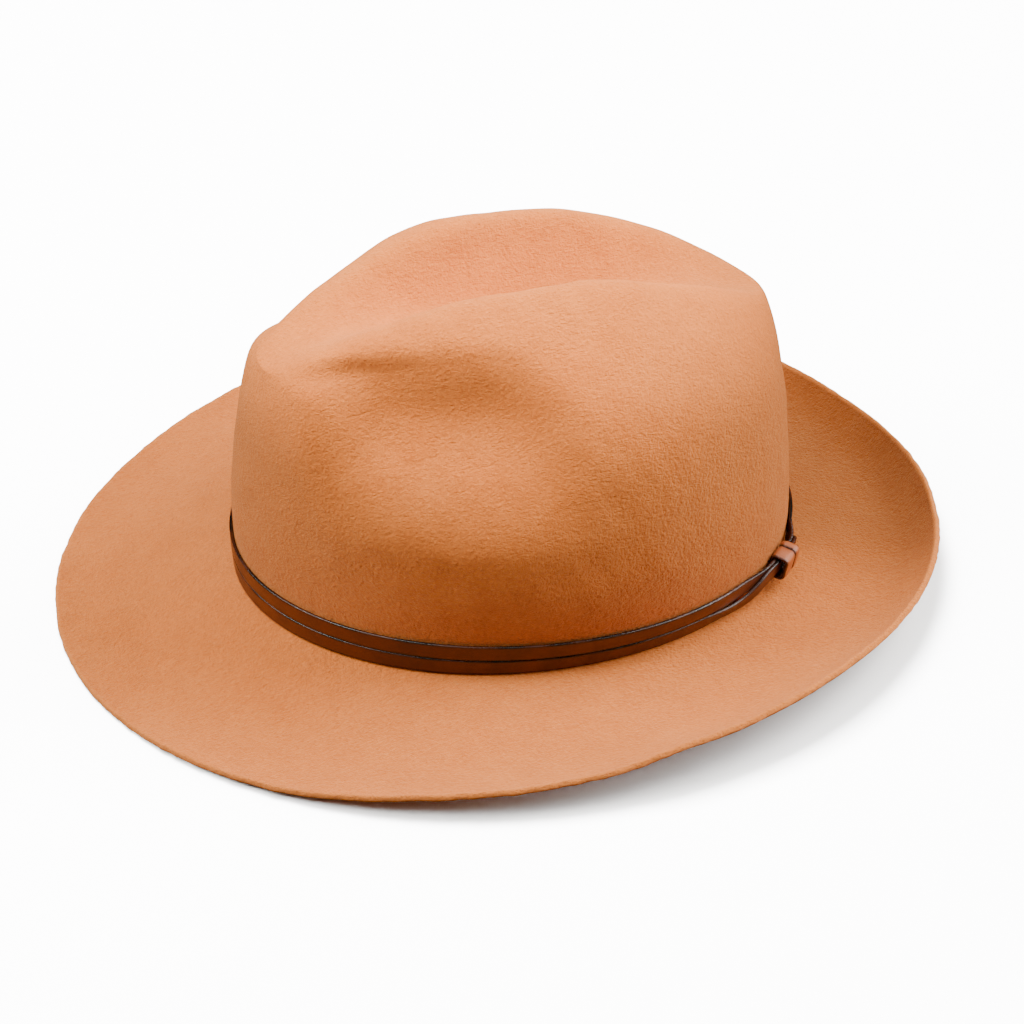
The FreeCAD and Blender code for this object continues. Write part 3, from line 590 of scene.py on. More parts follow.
FELT = felt_material()
BAND_LEATHER = leather_material(
    "band_leather", colour(0.085, 0.015, 0.002), colour(0.052, 0.009, 0.0015),
    colour(0.004, 0.002, 0.0015), 0.42, 1500.0, 0.00007,
)
KEEPER_LEATHER = leather_material(
    "keeper_leather", colour(0.330, 0.085, 0.018), colour(0.220, 0.050, 0.010),
    colour(0.060, 0.014, 0.004), 0.42, 1300.0, 0.00010,
)
SWEATBAND_LEATHER = leather_material(
    "sweatband_leather", colour(0.330, 0.160, 0.070), colour(0.230, 0.100, 0.040),
    colour(0.200, 0.090, 0.040), 0.46, 900.0, 0.00016,
)
TAPE_CLOTH = cloth_material("tape_cloth", colour(0.115, 0.055, 0.028), colour(0.065, 0.030, 0.015))
REED_PLASTIC = reed_material()
THREAD = thread_material()
BOW_RIBBON = cloth_material("bow_ribbon", colour(0.22, 0.10, 0.045), colour(0.11, 0.045, 0.018), 26.0)
TAB_CLOTH = cloth_material("tab_cloth", colour(0.80, 0.76, 0.66), colour(0.62, 0.57, 0.47))
LINING_SATIN = satin_material("lining_satin", colour(0.62, 0.46, 0.28), colour(0.47, 0.33, 0.18))
PIPING_SATIN = satin_material("piping_satin", colour(0.30, 0.14, 0.06), colour(0.20, 0.085, 0.035))


# ---- felt

FELT_COLUMNS = 600
CROWN_ROWS = 170
BRIM_ROWS = 44
EDGE_ROWS = 7
UNDER_ROWS = 30
INSIDE_ROWS = 70
EDGE_ROUNDING = 0.45
# Painted light on the felt, from 0 for painted shade to 1 for painted highlight: the top of the crown
# lightest, the foot of its wall darkest
PAINTED_LIGHT_WALL = 0.20
PAINTED_LIGHT_FROM = 72.0
PAINTED_LIGHT_OVER = 45.0
PAINTED_LIGHT_BRIM = 0.46
PAINTED_LIGHT_INSIDE = 0.30
PAINTED_LIGHT_HOLLOW = 0.62
PAINTED_LIGHT_SLOPE = 14.0
# Unevenness of the felt, each as wavelength, seed and height
CROWN_WAVES = ((62.0, 3, 0.35), (17.0, 5, 0.077))
BRIM_WAVES = ((95.0, 11, 0.45), (30.0, 13, 0.12))
EDGE_WAVES = ((7.0, 17, 0.10), (2.6, 19, 0.05))
# The crown is smooth up to this height above the break, and uneven from a little further up
SMOOTH_BELOW = 16.0
UNEVEN_OVER = 20.0
# The kink in the near edge of the brim
KINK_ANGLE = math.radians(88.0)
KINK_SPREAD = math.radians(4.5)
KINK_RISE = 1.1
FLOOR_GAP = 0.03


def uneven_crown(points, angle):
    """Slow unevenness of felt that was blocked by hand, none of it behind the band."""
    above = points[..., 2] - break_point(angle)[..., 2]
    fade = smoothstep((above - SMOOTH_BELOW) / UNEVEN_OVER)
    return unevenness(points, CROWN_WAVES) * fade


def uneven_brim(points, across, angle):
    level = points * np.array([1.0, 1.0, 0.0])
    fade = smoothstep((across - 0.15) / 0.7)
    turn = np.arctan2(np.sin(angle - KINK_ANGLE), np.cos(angle - KINK_ANGLE))
    kink = KINK_RISE * np.exp(-(turn / KINK_SPREAD) ** 2) * across ** 3
    return unevenness(level, BRIM_WAVES) * fade + kink


def grid(first, columns):
    angle = FULL_TURN * np.arange(columns) / columns
    return np.meshgrid(np.asarray(first, float), angle, indexing="ij")


def make_felt():
    up, crown_angle = grid(np.linspace(CROWN_END, 0.0, CROWN_ROWS + 1)[1:], FELT_COLUMNS)
    outer = crown_point(up, crown_angle)
    outer_normal = normal(crown_point, np.maximum(up, 2.0 * TOUCH), crown_angle)
    outer = outer + outer_normal * uneven_crown(outer, crown_angle)[..., None]

    across, angle = grid(np.linspace(0.0, 1.0, BRIM_ROWS + 1)[1:], FELT_COLUMNS)
    top = brim_point(across, angle)
    lift = uneven_brim(top, across, angle)
    top = top + xyz(0.0, 0.0, lift)

    place = grid(np.linspace(1.0, 0.0, UNDER_ROWS + 1)[:-1], FELT_COLUMNS)
    under = brim_point(*place)
    lift = uneven_brim(under, *place)
    under = under + normal(brim_point, *place) * BRIM_FELT + xyz(0.0, 0.0, lift)

    level = outward(angle[-1])
    rough = unevenness(top[-1], EDGE_WAVES)
    edge = []
    for share in np.linspace(0.0, 1.0, EDGE_ROWS):
        inwards = EDGE_ROUNDING * abs(2.0 * share - 1.0) ** 3 - rough
        edge.append(top[-1] * (1.0 - share) + under[0] * share - level * inwards[:, None])
    edge = np.stack(edge)

    corner = break_point(angle[:1]) - outward(angle[:1]) * CROWN_FELT - xyz(0.0, 0.0, BRIM_FELT)
    place = grid(np.linspace(0.0, CROWN_END, INSIDE_ROWS + 1)[1:-1], FELT_COLUMNS)
    inner = crown_point(*place)
    out = uneven_crown(inner, place[1]) - CROWN_FELT
    inner = inner + normal(crown_point, *place) * out[..., None]

    rows = np.concatenate([outer, top[:-1], edge, under[1:], corner, inner])
    rows[..., 2] = np.maximum(rows[..., 2], FLOOR_GAP)
    peak = crown_point(np.array([CROWN_END]), np.array([0.0]))
    poles = np.concatenate([peak, peak - xyz(0.0, 0.0, CROWN_FELT)])
    piece = pointed_mesh("fedora_felt", rows, poles)

    # Marks the brim's cut edge, which the felt paints lighter as a painted sheen
    share = np.zeros(rows.shape[:2])
    first = len(outer) + len(top) - 1
    share[first:first + EDGE_ROWS] = 1.0
    mark(piece, "edge", np.concatenate([share.ravel(), [0.0, 0.0]]))
    # Painted light and shade: the inside and the underside painted fairly dark, the crown's wall painted
    # darker at its foot and lighter towards its top
    painted_light = np.full(rows.shape[:2], PAINTED_LIGHT_INSIDE)
    crown_height = outer[..., 2] - PAINTED_LIGHT_FROM
    painted_light[:len(outer)] = PAINTED_LIGHT_WALL + (1.0 - PAINTED_LIGHT_WALL) * smoothstep(crown_height / PAINTED_LIGHT_OVER)
    # The side hollow is painted lighter below its middle, a painted pool of light, and darker above it
    # under the ridge, painted shade
    above_break = outer[..., 2] - break_point(crown_angle)[..., 2]
    in_hollow = pinch(up, crown_angle, above_break) / PINCH_DEPTH
    lower_slope = np.clip((PINCH_HEIGHT - above_break) / PAINTED_LIGHT_SLOPE, -1.0, 1.0)
    painted_light[:len(outer)] += PAINTED_LIGHT_HOLLOW * in_hollow * lower_slope
    painted_light = np.clip(painted_light, 0.0, 1.0)
    # The brim is painted darker towards the back: painted shade where it curls up behind the crown
    to_back = smoothstep((-np.cos(angle) - 0.75) / 0.22)
    painted_light[len(outer):first] = (PAINTED_LIGHT_BRIM * (1.0 - to_back))[:-1]
    painted_light[first:first + EDGE_ROWS] = PAINTED_LIGHT_BRIM
    mark(piece, "painted_light", np.concatenate([painted_light.ravel(), [1.0, PAINTED_LIGHT_INSIDE]]))
    return settle(piece, FELT, "felt_body")


# ---- hat band

STRAP_COLUMNS = 620
STRAP_ROUNDING = 0.38
STRAP_DROOP = 0.10
PAINTED_RIM = 0.55
RIM_BLEND = 0.22
# How much sooner the foot and the top of the lower strap lift over the upper one
FOOT_LEAD = 0.45
TOP_LEAD = 1.0
TACK_ANGLES = (0.0, 78.0, 205.0, 282.0)
TACK_HALF_LENGTH = 0.4
TACK_RADIUS = 0.10
THREAD_RINGS = 7
THREAD_SIDES = 8
KEEPER_CORNER = 1.9
KEEPER_CORNER_STEPS = 12
KEEPER_COLUMNS = 120
KEEPER_RIM = 0.42


def quarter_turn(start, steps):
    """Directions over a quarter turn from a start that counts in half turns."""
    turn = math.pi * (start + 0.5 * np.arange(steps + 1) / steps)
    return np.stack([np.cos(turn), np.sin(turn)], axis=1)


def rounded_outline(width, thick, radius, corner_steps=5, side_steps=9):
    """Closed outline of a flat strip: places across it from -width/2, heights from 0 to thick."""
    flat = width / 2.0 - radius
    corners = (
        (flat, radius, -0.5), (flat, thick - radius, 0.0),
        (-flat, thick - radius, 0.5), (-flat, radius, 1.0),
    )
    run = flat * (2.0 * np.arange(1, side_steps) / side_steps - 1.0)
    sides = {0.0: (-run, thick + 0.0 * run), 1.0: (run, 0.0 * run)}
    parts = []
    for x, z, start in corners:
        parts.append(np.array([x, z]) + radius * quarter_turn(start, corner_steps))
        if start in sides:
            parts.append(np.stack(sides[start], axis=1))
    return np.concatenate(parts).T


def make_strap(name, node, upper):
    stand = KEEPER_FELT_GAP + KEEPER_WALL + KEEPER_PLAY - STRAP_GAP
    over = 0.0 if upper else STRAP_THICKNESS + STRAP_SEAM
    half_joint = STRAP_JOINT / 2.0 / SPEED_AT_KEEPER
    angle = np.linspace(KEEPER_ANGLE + half_joint, KEEPER_ANGLE + FULL_TURN - half_joint, STRAP_COLUMNS)
    crossed = strap_crossing(angle, 0.0)
    foot_off = STRAP_GAP + stand * crossed + over * strap_crossing(angle, FOOT_LEAD)
    top_off = STRAP_GAP + stand * crossed + over * strap_crossing(angle, TOP_LEAD)
    point, up, off = strap_frame(angle, upper)
    across, height = rounded_outline(STRAP_WIDTH, STRAP_THICKNESS, STRAP_ROUNDING)
    droop = STRAP_DROOP * np.abs(2.0 * across / STRAP_WIDTH) ** 4 * (height > STRAP_THICKNESS / 2.0)
    share = across / STRAP_WIDTH + 0.5
    lean = foot_off[:, None] * (1.0 - share) + top_off[:, None] * share
    out = lean + (height - droop)[None, :]
    sections = point[:, None] + up[:, None] * across[None, :, None] + off[:, None] * out[..., None]
    piece = ring_strip(name, sections, closed=False)
    rim = smoothstep((np.abs(across) - STRAP_WIDTH / 2.0 + PAINTED_RIM) / RIM_BLEND)
    wander = 0.75 + 0.25 * ripple(point, 14.0, 23 + upper)
    mark(piece, "edge", np.clip(rim[None, :] * np.clip(wander, 0.6, 1.0)[:, None], 0.0, 1.0))
    return settle(piece, BAND_LEATHER, node)


def add_thread(vertices, faces, middle, reach, lift, radius, arch=0.0):
    """Adds one stitch from middle - reach to middle + reach: a round thread that dips at its ends."""
    side = np.cross(unit(reach), lift)
    first = len(vertices)
    for share in np.linspace(0.0, 1.0, THREAD_RINGS):
        swell = radius * math.sin(math.pi * (0.08 + 0.84 * share)) ** 0.5
        centre = middle + reach * (2.0 * share - 1.0) + lift * (arch * math.sin(math.pi * share))
        for step in range(THREAD_SIDES):
            turn = FULL_TURN * step / THREAD_SIDES
            vertices.append(centre + (side * math.cos(turn) + lift * math.sin(turn)) * swell)
    faces.extend(capped_faces(THREAD_RINGS, THREAD_SIDES, first))


def finish_threads(name, node, vertices, faces):
    return settle(face_outwards(add_mesh(name, vertices, faces)), THREAD, node)


def make_tacks():
    """Short loops of thread that hold the straps on the crown."""
    vertices, faces = [], []
    for degrees in TACK_ANGLES:
        for upper in (False, True):
            point, up, off = strap_frame(math.radians(degrees), upper)
            half = np.cross(up, off) * TACK_HALF_LENGTH
            add_thread(vertices, faces, point + off * STRAP_GAP / 2.0, half, off, TACK_RADIUS)
    return finish_threads("band_tack_threads", "band_tacks", vertices, faces)


def resample(points, directions, count):
    """Evenly spaced points on a closed line, and the directions that go with them."""
    closed = np.concatenate([points, points[:1]])
    turned = np.concatenate([directions, directions[:1]])
    run = np.concatenate([[0.0], np.cumsum(np.linalg.norm(np.diff(closed, axis=0), axis=1))])
    places = np.linspace(0.0, run[-1], count, endpoint=False)
    new, way = (
        np.stack([np.interp(places, run, line[:, axis]) for axis in range(2)], axis=1)
        for line in (closed, turned)
    )
    return new, unit(way)


def keeper_profile(half, bulge_out):
    """Round a ring's wall: place along the strap, place off the ring and how much it takes the dark rim
    colour, which on the inside is painted shade.
    """
    def rim(side):
        turns = np.linspace(0.2, 1.8, 7)[::side] * math.pi / 2.0
        reach = side * (half - KEEPER_RIM + KEEPER_RIM * np.sin(turns))
        return np.stack([reach, (np.cos(turns) - 1.0) * KEEPER_WALL / 2.0, 1.0 + 0.0 * turns], axis=1)

    flat = half - KEEPER_RIM
    share = np.linspace(-1.0, 1.0, 13)
    outside = np.stack([share * flat, bulge_out * (1.0 - share ** 2), np.abs(share) ** 8], axis=1)
    back = np.linspace(1.0, -1.0, 7)
    # The inside of the ring is painted 0.6 of the way to the dark rim colour: painted shade inside the ring
    inside = np.stack([back * flat, 0.0 * back - KEEPER_WALL, 0.0 * back + 0.6], axis=1)
    return np.concatenate([outside, rim(1), inside, rim(-1)])


def make_keeper_ring(name, node, start, length, bulge_out, seed):
    """Rolled leather ring: a rounded box round the straps whose wall swells between its rims."""
    deep = 2.0 * KEEPER_WALL + KEEPER_PLAY + 2.0 * STRAP_THICKNESS + STRAP_SEAM + KEEPER_HEADROOM
    tall = 2.0 * KEEPER_WALL + 2.0 * KEEPER_PLAY + STRAP_WIDTH
    point, up, off = strap_frame(KEEPER_ANGLE, upper=False)
    along = np.cross(off, up)
    far, high = deep - KEEPER_CORNER, tall / 2.0 - KEEPER_CORNER
    corners = ((far, high, 0.0), (KEEPER_CORNER, high, 0.5), (KEEPER_CORNER, -high, 1.0), (far, -high, 1.5))
    turns = [quarter_turn(begin, KEEPER_CORNER_STEPS) for _, _, begin in corners]
    outline = [np.array([x, y]) + KEEPER_CORNER * turn for (x, y, _), turn in zip(corners, turns)]
    outline, outwards = resample(np.concatenate(outline), np.concatenate(turns), KEEPER_COLUMNS)
    half = length / 2.0
    profile = keeper_profile(half, bulge_out)
    flat = outline[:, None] + outwards[:, None] * profile[None, :, 1, None]
    where = point + off * KEEPER_FELT_GAP + along * (start + half)
    sections = (
        where + off * flat[..., 0, None] + up * flat[..., 1, None] + along * profile[None, :, 0, None]
    )
    dents = ripple(sections, 5.5, seed) * 0.05 * (profile[:, 1] > -0.2)[None, :]
    direction = off * outwards[:, None, 0, None] + up * outwards[:, None, 1, None]
    piece = ring_strip(name, sections + direction * dents[..., None], closed=True)
    # edge carries the ring's painted rims and the painted shade on its inside
    mark(piece, "edge", np.broadcast_to(profile[None, :, 2], sections.shape[:2]))
    return settle(piece, KEEPER_LEATHER, node, body="keeper")


# ---- inside of the hat

SWEATBAND_WAVE = 0.22
TAPE_START = -0.8
TAPE_WIDTH = 6.5
TAPE_THICKNESS = 0.25
TAPE_GAP = 0.08
JOINT_TAPE_HALF_ANGLE = math.radians(5.0)
JOINT_TAPE_START = 6.6
JOINT_TAPE_WIDTH = 17.5
REED_RADIUS = 0.7
REED_INSET = 3.7
REED_HEIGHT = 0.2
STITCH_COUNT = 110
STITCH_LENGTH = 2.6
STITCH_HEIGHT = 4.2
STITCH_RADIUS = 0.2
STITCH_SLANT = 0.16
STITCH_ARCH = 0.16
STITCH_SINK = 0.05
PIPING_TWIST = 170
ROPE_DEPTH = 0.13
# Bow at the back, and the knot round its middle
BOW_HALF_ANGLE = math.radians(11.0)
BOW_WIDTH = 9.0
BOW_WAIST = 3.6
BOW_THICKNESS = 1.6
BOW_HEIGHT = 12.0
RIBBON_THICKNESS = 0.32
KNOT_WIDTH = 4.0
KNOT_TALL = 5.0
KNOT_THICKNESS = 2.6
BOW_ROWS = 26
BOW_CUP = 0.072
KNOT_ROWS = 32
KNOT_FLARE = 0.08
RIBBON_ROUNDING = 0.12
# Size tab
TAB_WIDTH = 11.0
TAB_TALL = 14.0
TAB_THICKNESS = 0.3
TAB_ANGLE = math.radians(158.0)
TAB_HEIGHT = 14.0
TAB_GAP = 0.3
TAB_SLACK = 0.55
TAB_ROWS = 30
TAB_STITCH_INSET = 1.3
TAB_STITCH_HALF = 0.9
TAB_STITCH_RADIUS = 0.16
TAB_STITCH_ARCH = 0.15
TAB_STITCH_RISE = 0.12
# Lining
BEHIND_BAND = 0.22
GATHERS = 64
GATHER_DEPTH = 1.1
TIP_SAG = 2.2
LINING_SHIFT = SHIFT * np.array([0.0, 1.0, 0.0])


def make_band_inside(name, node, material, low, width, near, thick, start, end, edge_wave=0.0):
    """Strip that leans with the sweatband; near counts inwards from the sweatband's felt side."""
    count = max(24, int(600 * (end - start) / FULL_TURN))
    angle = np.linspace(start, end, count)
    across, height = rounded_outline(width, thick, min(0.4, thick * 0.42), 4, 20)
    share = across / width + 0.5
    turns, heights = np.meshgrid(angle, low + share * width, indexing="ij")
    point = at_sweatband(turns, heights, near + height[None, :] + 0.0 * turns)
    if edge_wave:
        wave = edge_wave * ripple(at_break(angle, 0.0, 0.0), 48.0, 31)[:, None] * share[None, :] ** 3
        point = point + outward(turns) * wave[..., None]
    piece = ring_strip(name, point, closed=False)
    rim = smoothstep((share - 1.0) * width / 0.8 + 1.0)
    mark(piece, "edge", np.broadcast_to(rim[None, :], turns.shape))
    return settle(piece, material, node)


def make_sweatband():
    half_joint = SWEATBAND_JOINT / 2.0 / CROWN_HALF_WIDTH
    start, end = math.pi + half_joint, 3.0 * math.pi - half_joint
    make_band_inside(
        "sweatband_leather_strip", "sweatband", SWEATBAND_LEATHER,
        SWEATBAND_START, SWEATBAND_WIDTH, 0.0, SWEATBAND_THICKNESS, start, end, SWEATBAND_WAVE,
    )
    behind = -TAPE_GAP - TAPE_THICKNESS
    make_band_inside(
        "reed_tape_strip", "reed_tape", TAPE_CLOTH,
        TAPE_START, TAPE_WIDTH, behind, TAPE_THICKNESS, start, end,
    )
    make_band_inside(
        "joint_tape_strip", "sweatband_joint_tape", TAPE_CLOTH,
        JOINT_TAPE_START, JOINT_TAPE_WIDTH, behind, TAPE_THICKNESS,
        math.pi - JOINT_TAPE_HALF_ANGLE, math.pi + JOINT_TAPE_HALF_ANGLE,
    )


def tube_on_oval(name, half_width, half_length, centre, rise, radius, columns=400, around=14, twist=0):
    """Closed tube along an oval; rise tips the oval up at the front; twist ropes its surface."""
    angle = FULL_TURN * np.arange(columns) / columns
    middle = oval(half_width, half_length, angle, rise * np.cos(angle)) + centre
    level = unit(oval(half_length, half_width, angle))
    turn = FULL_TURN * np.arange(around) / around
    depth = ROPE_DEPTH if twist else 0.0
    swell = radius * (1.0 - depth * (0.5 + 0.5 * np.cos(2.0 * turn + twist * angle[:, None])))
    sections = middle[:, None] + level[:, None] * (swell * np.cos(turn))[..., None]
    sections = sections + xyz(0.0, 0.0, swell * np.sin(turn))
    return ring_strip(name, sections, closed=True)


def make_reed():
    centre = np.array([0.0, 0.0, BREAK_HEIGHT + REED_HEIGHT]) + SHIFT
    half_length = math.hypot(CROWN_HALF_LENGTH, BREAK_RISE_FRONT) - REED_INSET
    tilt = math.atan2(BREAK_RISE_FRONT, CROWN_HALF_LENGTH)
    piece = tube_on_oval(
        "sweatband_reed_rod", CROWN_HALF_WIDTH - REED_INSET, half_length * math.cos(tilt),
        centre, half_length * math.sin(tilt), REED_RADIUS,
    )
    return settle(piece, REED_PLASTIC, "sweatband_reed")


def make_stitches():
    vertices, faces = [], []
    for number in range(STITCH_COUNT):
        angle = FULL_TURN * (number + 0.5) / STITCH_COUNT
        out = outward(angle)
        place = at_sweatband(angle, STITCH_HEIGHT, SWEATBAND_THICKNESS - STITCH_SINK)
        half = xyz(-out[1], out[0], 0.0) * STITCH_LENGTH / 2.0 + xyz(0.0, 0.0, STITCH_SLANT)
        add_thread(vertices, faces, place, half, -out, STITCH_RADIUS, STITCH_ARCH)
    return finish_threads("sweatband_stitch_threads", "sweatband_stitches", vertices, faces)


def make_bow_loop(name, side):
    """Flat loop of ribbon that runs out from the knot and folds back over itself."""
    share = np.linspace(0.0, 1.0, BOW_ROWS)
    run = 1.0 - np.abs(1.0 - 2.0 * share)
    reach = BOW_HALF_ANGLE * CROWN_HALF_WIDTH
    out = reach * (0.04 + 0.96 * np.sin(run * math.pi / 2.0))
    fold = smoothstep((share - 0.32) / 0.36)
    lift = RIBBON_THICKNESS / 2.0 + (BOW_THICKNESS - RIBBON_THICKNESS) * fold
    spread = BOW_WAIST + (BOW_WIDTH - BOW_WAIST) * smoothstep(run * 1.35)
    line = np.stack([out, lift], axis=1)
    ahead = unit(np.gradient(line, axis=0))
    sideways = np.stack([-ahead[:, 1], ahead[:, 0]], axis=1)
    across, height = rounded_outline(2.0, RIBBON_THICKNESS, RIBBON_ROUNDING, 3, 12)
    flat = line[:, None] + sideways[:, None] * (height - RIBBON_THICKNESS / 2.0)[None, :, None]
    cup = BOW_CUP * across[None, :] ** 2 * smoothstep(out / reach)[:, None]
    angle = math.pi + side * flat[..., 0] / CROWN_HALF_WIDTH
    above = BOW_HEIGHT + across[None, :] * spread[:, None] / 2.0
    point = at_sweatband(angle, above, SWEATBAND_THICKNESS + SEWN_GAP + flat[..., 1] + cup)
    piece = ring_strip(name, point, closed=False)
    mark(piece, "along", np.broadcast_to(share[:, None], angle.shape))
    return settle(piece, BOW_RIBBON, "rear_bow")


def make_knot():
    """Ribbon wound once round the middle of the bow."""
    turns = np.linspace(0.0, FULL_TURN, KNOT_ROWS, endpoint=False)[:, None]
    across, height = rounded_outline(KNOT_WIDTH, RIBBON_THICKNESS, RIBBON_ROUNDING, 3, 10)
    depth = (KNOT_THICKNESS + 0.4) / 2.0 - RIBBON_THICKNESS
    middle = at_sweatband(math.pi, BOW_HEIGHT, SWEATBAND_THICKNESS + 2.0 * SEWN_GAP + depth)
    square = (np.abs(np.cos(turns)) ** 3 + np.abs(np.sin(turns)) ** 3) ** (-1.0 / 3.0)
    flare = KNOT_FLARE * (2.0 * across / KNOT_WIDTH) ** 2
    grow = square * (1.0 + (height + flare) / KNOT_TALL * 2.0)
    rise = np.sin(turns) * KNOT_TALL / 2.0 * 0.92 * grow
    point = middle + xyz(across, -np.cos(turns) * depth * grow, rise)
    piece = ring_strip("bow_knot", point, closed=True)
    mark(piece, "along", np.broadcast_to(turns / FULL_TURN, grow.shape))
    return settle(piece, BOW_RIBBON, "rear_bow")


def make_tab():
    """Blank woven tab, sewn down at its four corners, a little slack in the middle."""
    off = SWEATBAND_THICKNESS + TAB_GAP
    foot = at_sweatband(TAB_ANGLE, TAB_HEIGHT, off)
    up = unit(at_sweatband(TAB_ANGLE, TAB_HEIGHT + TAB_TALL, off) - foot)
    inward = -outward(TAB_ANGLE)
    along = np.cross(up, inward)
    across, height = rounded_outline(TAB_WIDTH, TAB_THICKNESS, 0.12, 3, 22)
    share = np.linspace(0.0, 1.0, TAB_ROWS)[:, None]
    middling = np.maximum(np.cos(math.pi * across / TAB_WIDTH), 0.0) ** 0.5
    depth = height + TAB_SLACK * np.sin(math.pi * share) * middling
    rise = up * TAB_TALL * share[..., None]
    cloth = foot + rise + along * across[None, :, None] + inward * depth[..., None]
    piece = ring_strip("size_tab_cloth", cloth, closed=False)
    settle(piece, TAB_CLOTH, "size_tab")
    vertices, faces = [], []
    half = along * TAB_STITCH_HALF
    for side in (-1.0, 1.0):
        for up_share in (0.07, 0.93):
            place = foot + along * side * (TAB_WIDTH / 2.0 - TAB_STITCH_INSET)
            place = place + up * TAB_TALL * up_share + inward * (TAB_THICKNESS + TAB_STITCH_RISE)
            add_thread(vertices, faces, place, half, inward, TAB_STITCH_RADIUS, TAB_STITCH_ARCH)
    return finish_threads("size_tab_threads", "size_tab", vertices, faces)


def make_lining_side():
    """Side of the lining, from behind the sweatband up to the seam, with soft gathers."""
    columns = 900
    over_band = SWEATBAND_START + SWEATBAND_WIDTH + LINING_RISE
    share, angle = grid(np.linspace(0.0, 1.0, 46), columns)
    seam = oval(LINING_HALF_WIDTH, LINING_HALF_LENGTH, angle, LINING_TOP) + LINING_SHIFT
    straight = at_sweatband(angle, over_band, -SEWN_GAP - LINING_CLOTH)
    free = np.clip((share - BEHIND_BAND) / (1.0 - BEHIND_BAND), 0.0, 1.0)
    above = LINING_START + (over_band - LINING_START) * np.minimum(share / BEHIND_BAND, 1.0)
    behind = at_sweatband(angle, above, -SEWN_GAP - LINING_CLOTH)
    above_band = straight * (1.0 - free[..., None]) + seam * free[..., None]
    points = np.where((share < BEHIND_BAND)[..., None], behind, above_band)
    round_it = xyz(np.sin(angle), np.cos(angle), 0.0)
    fold = np.sin(GATHERS * angle + 1.6 * ripple(round_it * 20.0, 22.0, 41))
    fold = fold + 0.5 * np.sin(GATHERS * 1.7 * angle + 2.0 + ripple(round_it * 20.0, 15.0, 43))
    slack = smoothstep(free * 3.0) * (0.35 + 0.65 * free) * smoothstep((1.0 - free) * 12.0)
    points = points - outward(angle) * ((0.55 * fold + 0.45) * slack * GATHER_DEPTH)[..., None]
    along = np.gradient(points, axis=0)
    around = np.roll(points, -1, axis=1) - np.roll(points, 1, axis=1)
    away = unit(np.cross(around, along)) * LINING_CLOTH / 2.0
    skins = np.concatenate([points + away, (points - away)[::-1]])
    piece = ring_strip("lining_side_satin", skins, closed=True)
    settle(piece, LINING_SATIN, "lining_side")


def make_lining_tip():
    """Oval top of the lining, a little slack, drawn in towards its seam."""
    columns = 480
    share, angle = grid(np.linspace(1.0, 0.0, 60)[:-1], columns)
    flat = oval(LINING_HALF_WIDTH * share, LINING_HALF_LENGTH * share, angle)
    centre = xyz(0.0, 0.0, LINING_TOP + SEWN_GAP + LINING_CLOTH / 2.0) + LINING_SHIFT
    pull = np.exp(-((1.0 - share) / 0.10) ** 2) * (1.0 - share) * 9.0
    pucker = np.sin(GATHERS * angle + ripple(flat, 60.0, 47)) * 0.35 * np.minimum(pull, 0.6)
    sag = -TIP_SAG * (1.0 - share ** 2) + 0.5 * ripple(flat, 70.0, 51) * (1.0 - share ** 4)
    points = flat + xyz(0.0, 0.0, sag + pucker) + centre
    half = xyz(0.0, 0.0, LINING_CLOTH / 2.0)
    middle = points[-1].mean(axis=0)
    skins = np.concatenate([(points + half)[::-1], points - half])
    piece = pointed_mesh("lining_tip_satin", skins, np.stack([middle + half, middle - half]))
    settle(piece, LINING_SATIN, "lining_tip")


def make_piping():
    """Roped cord over the seam between the lining's side and its tip."""
    centre = xyz(0.0, 0.0, LINING_TOP + PIPING_RISE) + LINING_SHIFT
    more = PIPING_RADIUS + SEWN_GAP
    piece = tube_on_oval(
        "lining_piping_cord", LINING_HALF_WIDTH + more, LINING_HALF_LENGTH + more,
        centre, 0.0, PIPING_RADIUS, columns=720, around=12, twist=PIPING_TWIST,
    )
    return settle(piece, PIPING_SATIN, "lining_piping")


NARROW_START = -(KEEPER_NARROW + KEEPER_SPLIT + KEEPER_WIDE) / 2.0
WIDE_START = NARROW_START + KEEPER_NARROW + KEEPER_SPLIT

make_felt()
make_strap("band_strap_upper_leather", "band_strap_upper", upper=True)
make_strap("band_strap_lower_leather", "band_strap_lower", upper=False)
make_tacks()
make_keeper_ring("keeper_narrow_leather", "keeper_ring_narrow", NARROW_START, KEEPER_NARROW, 0.32, 61)
make_keeper_ring("keeper_wide_leather", "keeper_ring_wide", WIDE_START, KEEPER_WIDE, 0.22, 67)
make_sweatband()
make_reed()
make_stitches()
make_bow_loop("bow_loop_right", -1.0)
make_bow_loop("bow_loop_left", 1.0)
make_knot()
make_tab()
make_lining_side()
make_lining_tip()
make_piping()


# ---- floor, light and camera

FLOOR_RADIUS = 1700.0
FLOOR_COLUMNS = 96
SWEEP_STEPS = 13
SWEEP_RADIUS = 500.0
SWEEP_TALL = 2600.0
WORLD_STRENGTH = 0.03
WARM_WHITE = (1.0, 0.985, 0.96)
PURE_WHITE = (1.0, 1.0, 1.0)
LAMP_TARGET = Vector((0.0, 0.0, 0.06))
# Each as name, azimuth, elevation, distance, size for each metre of distance, and power
SOFTBOXES = (
    ("overhead_softbox", 0.0, 89.0, 0.55, 0.6, 1.6),
    ("rear_softbox", 172.0, 45.0, 1.5, 0.6, 42.0),
    ("front_softbox", 345.0, 42.0, 1.5, 0.6, 50.0),
    ("camera_softbox", 30.0, 60.0, 1.5, 0.6, 15.0),
    ("back_softbox", 156.0, 20.0, 1.5, 0.6, 29.0),
)
FLOOR_SOFTBOX = ("floor_softbox", 280.0, 66.0, 4.0, 0.5, 1900.0)
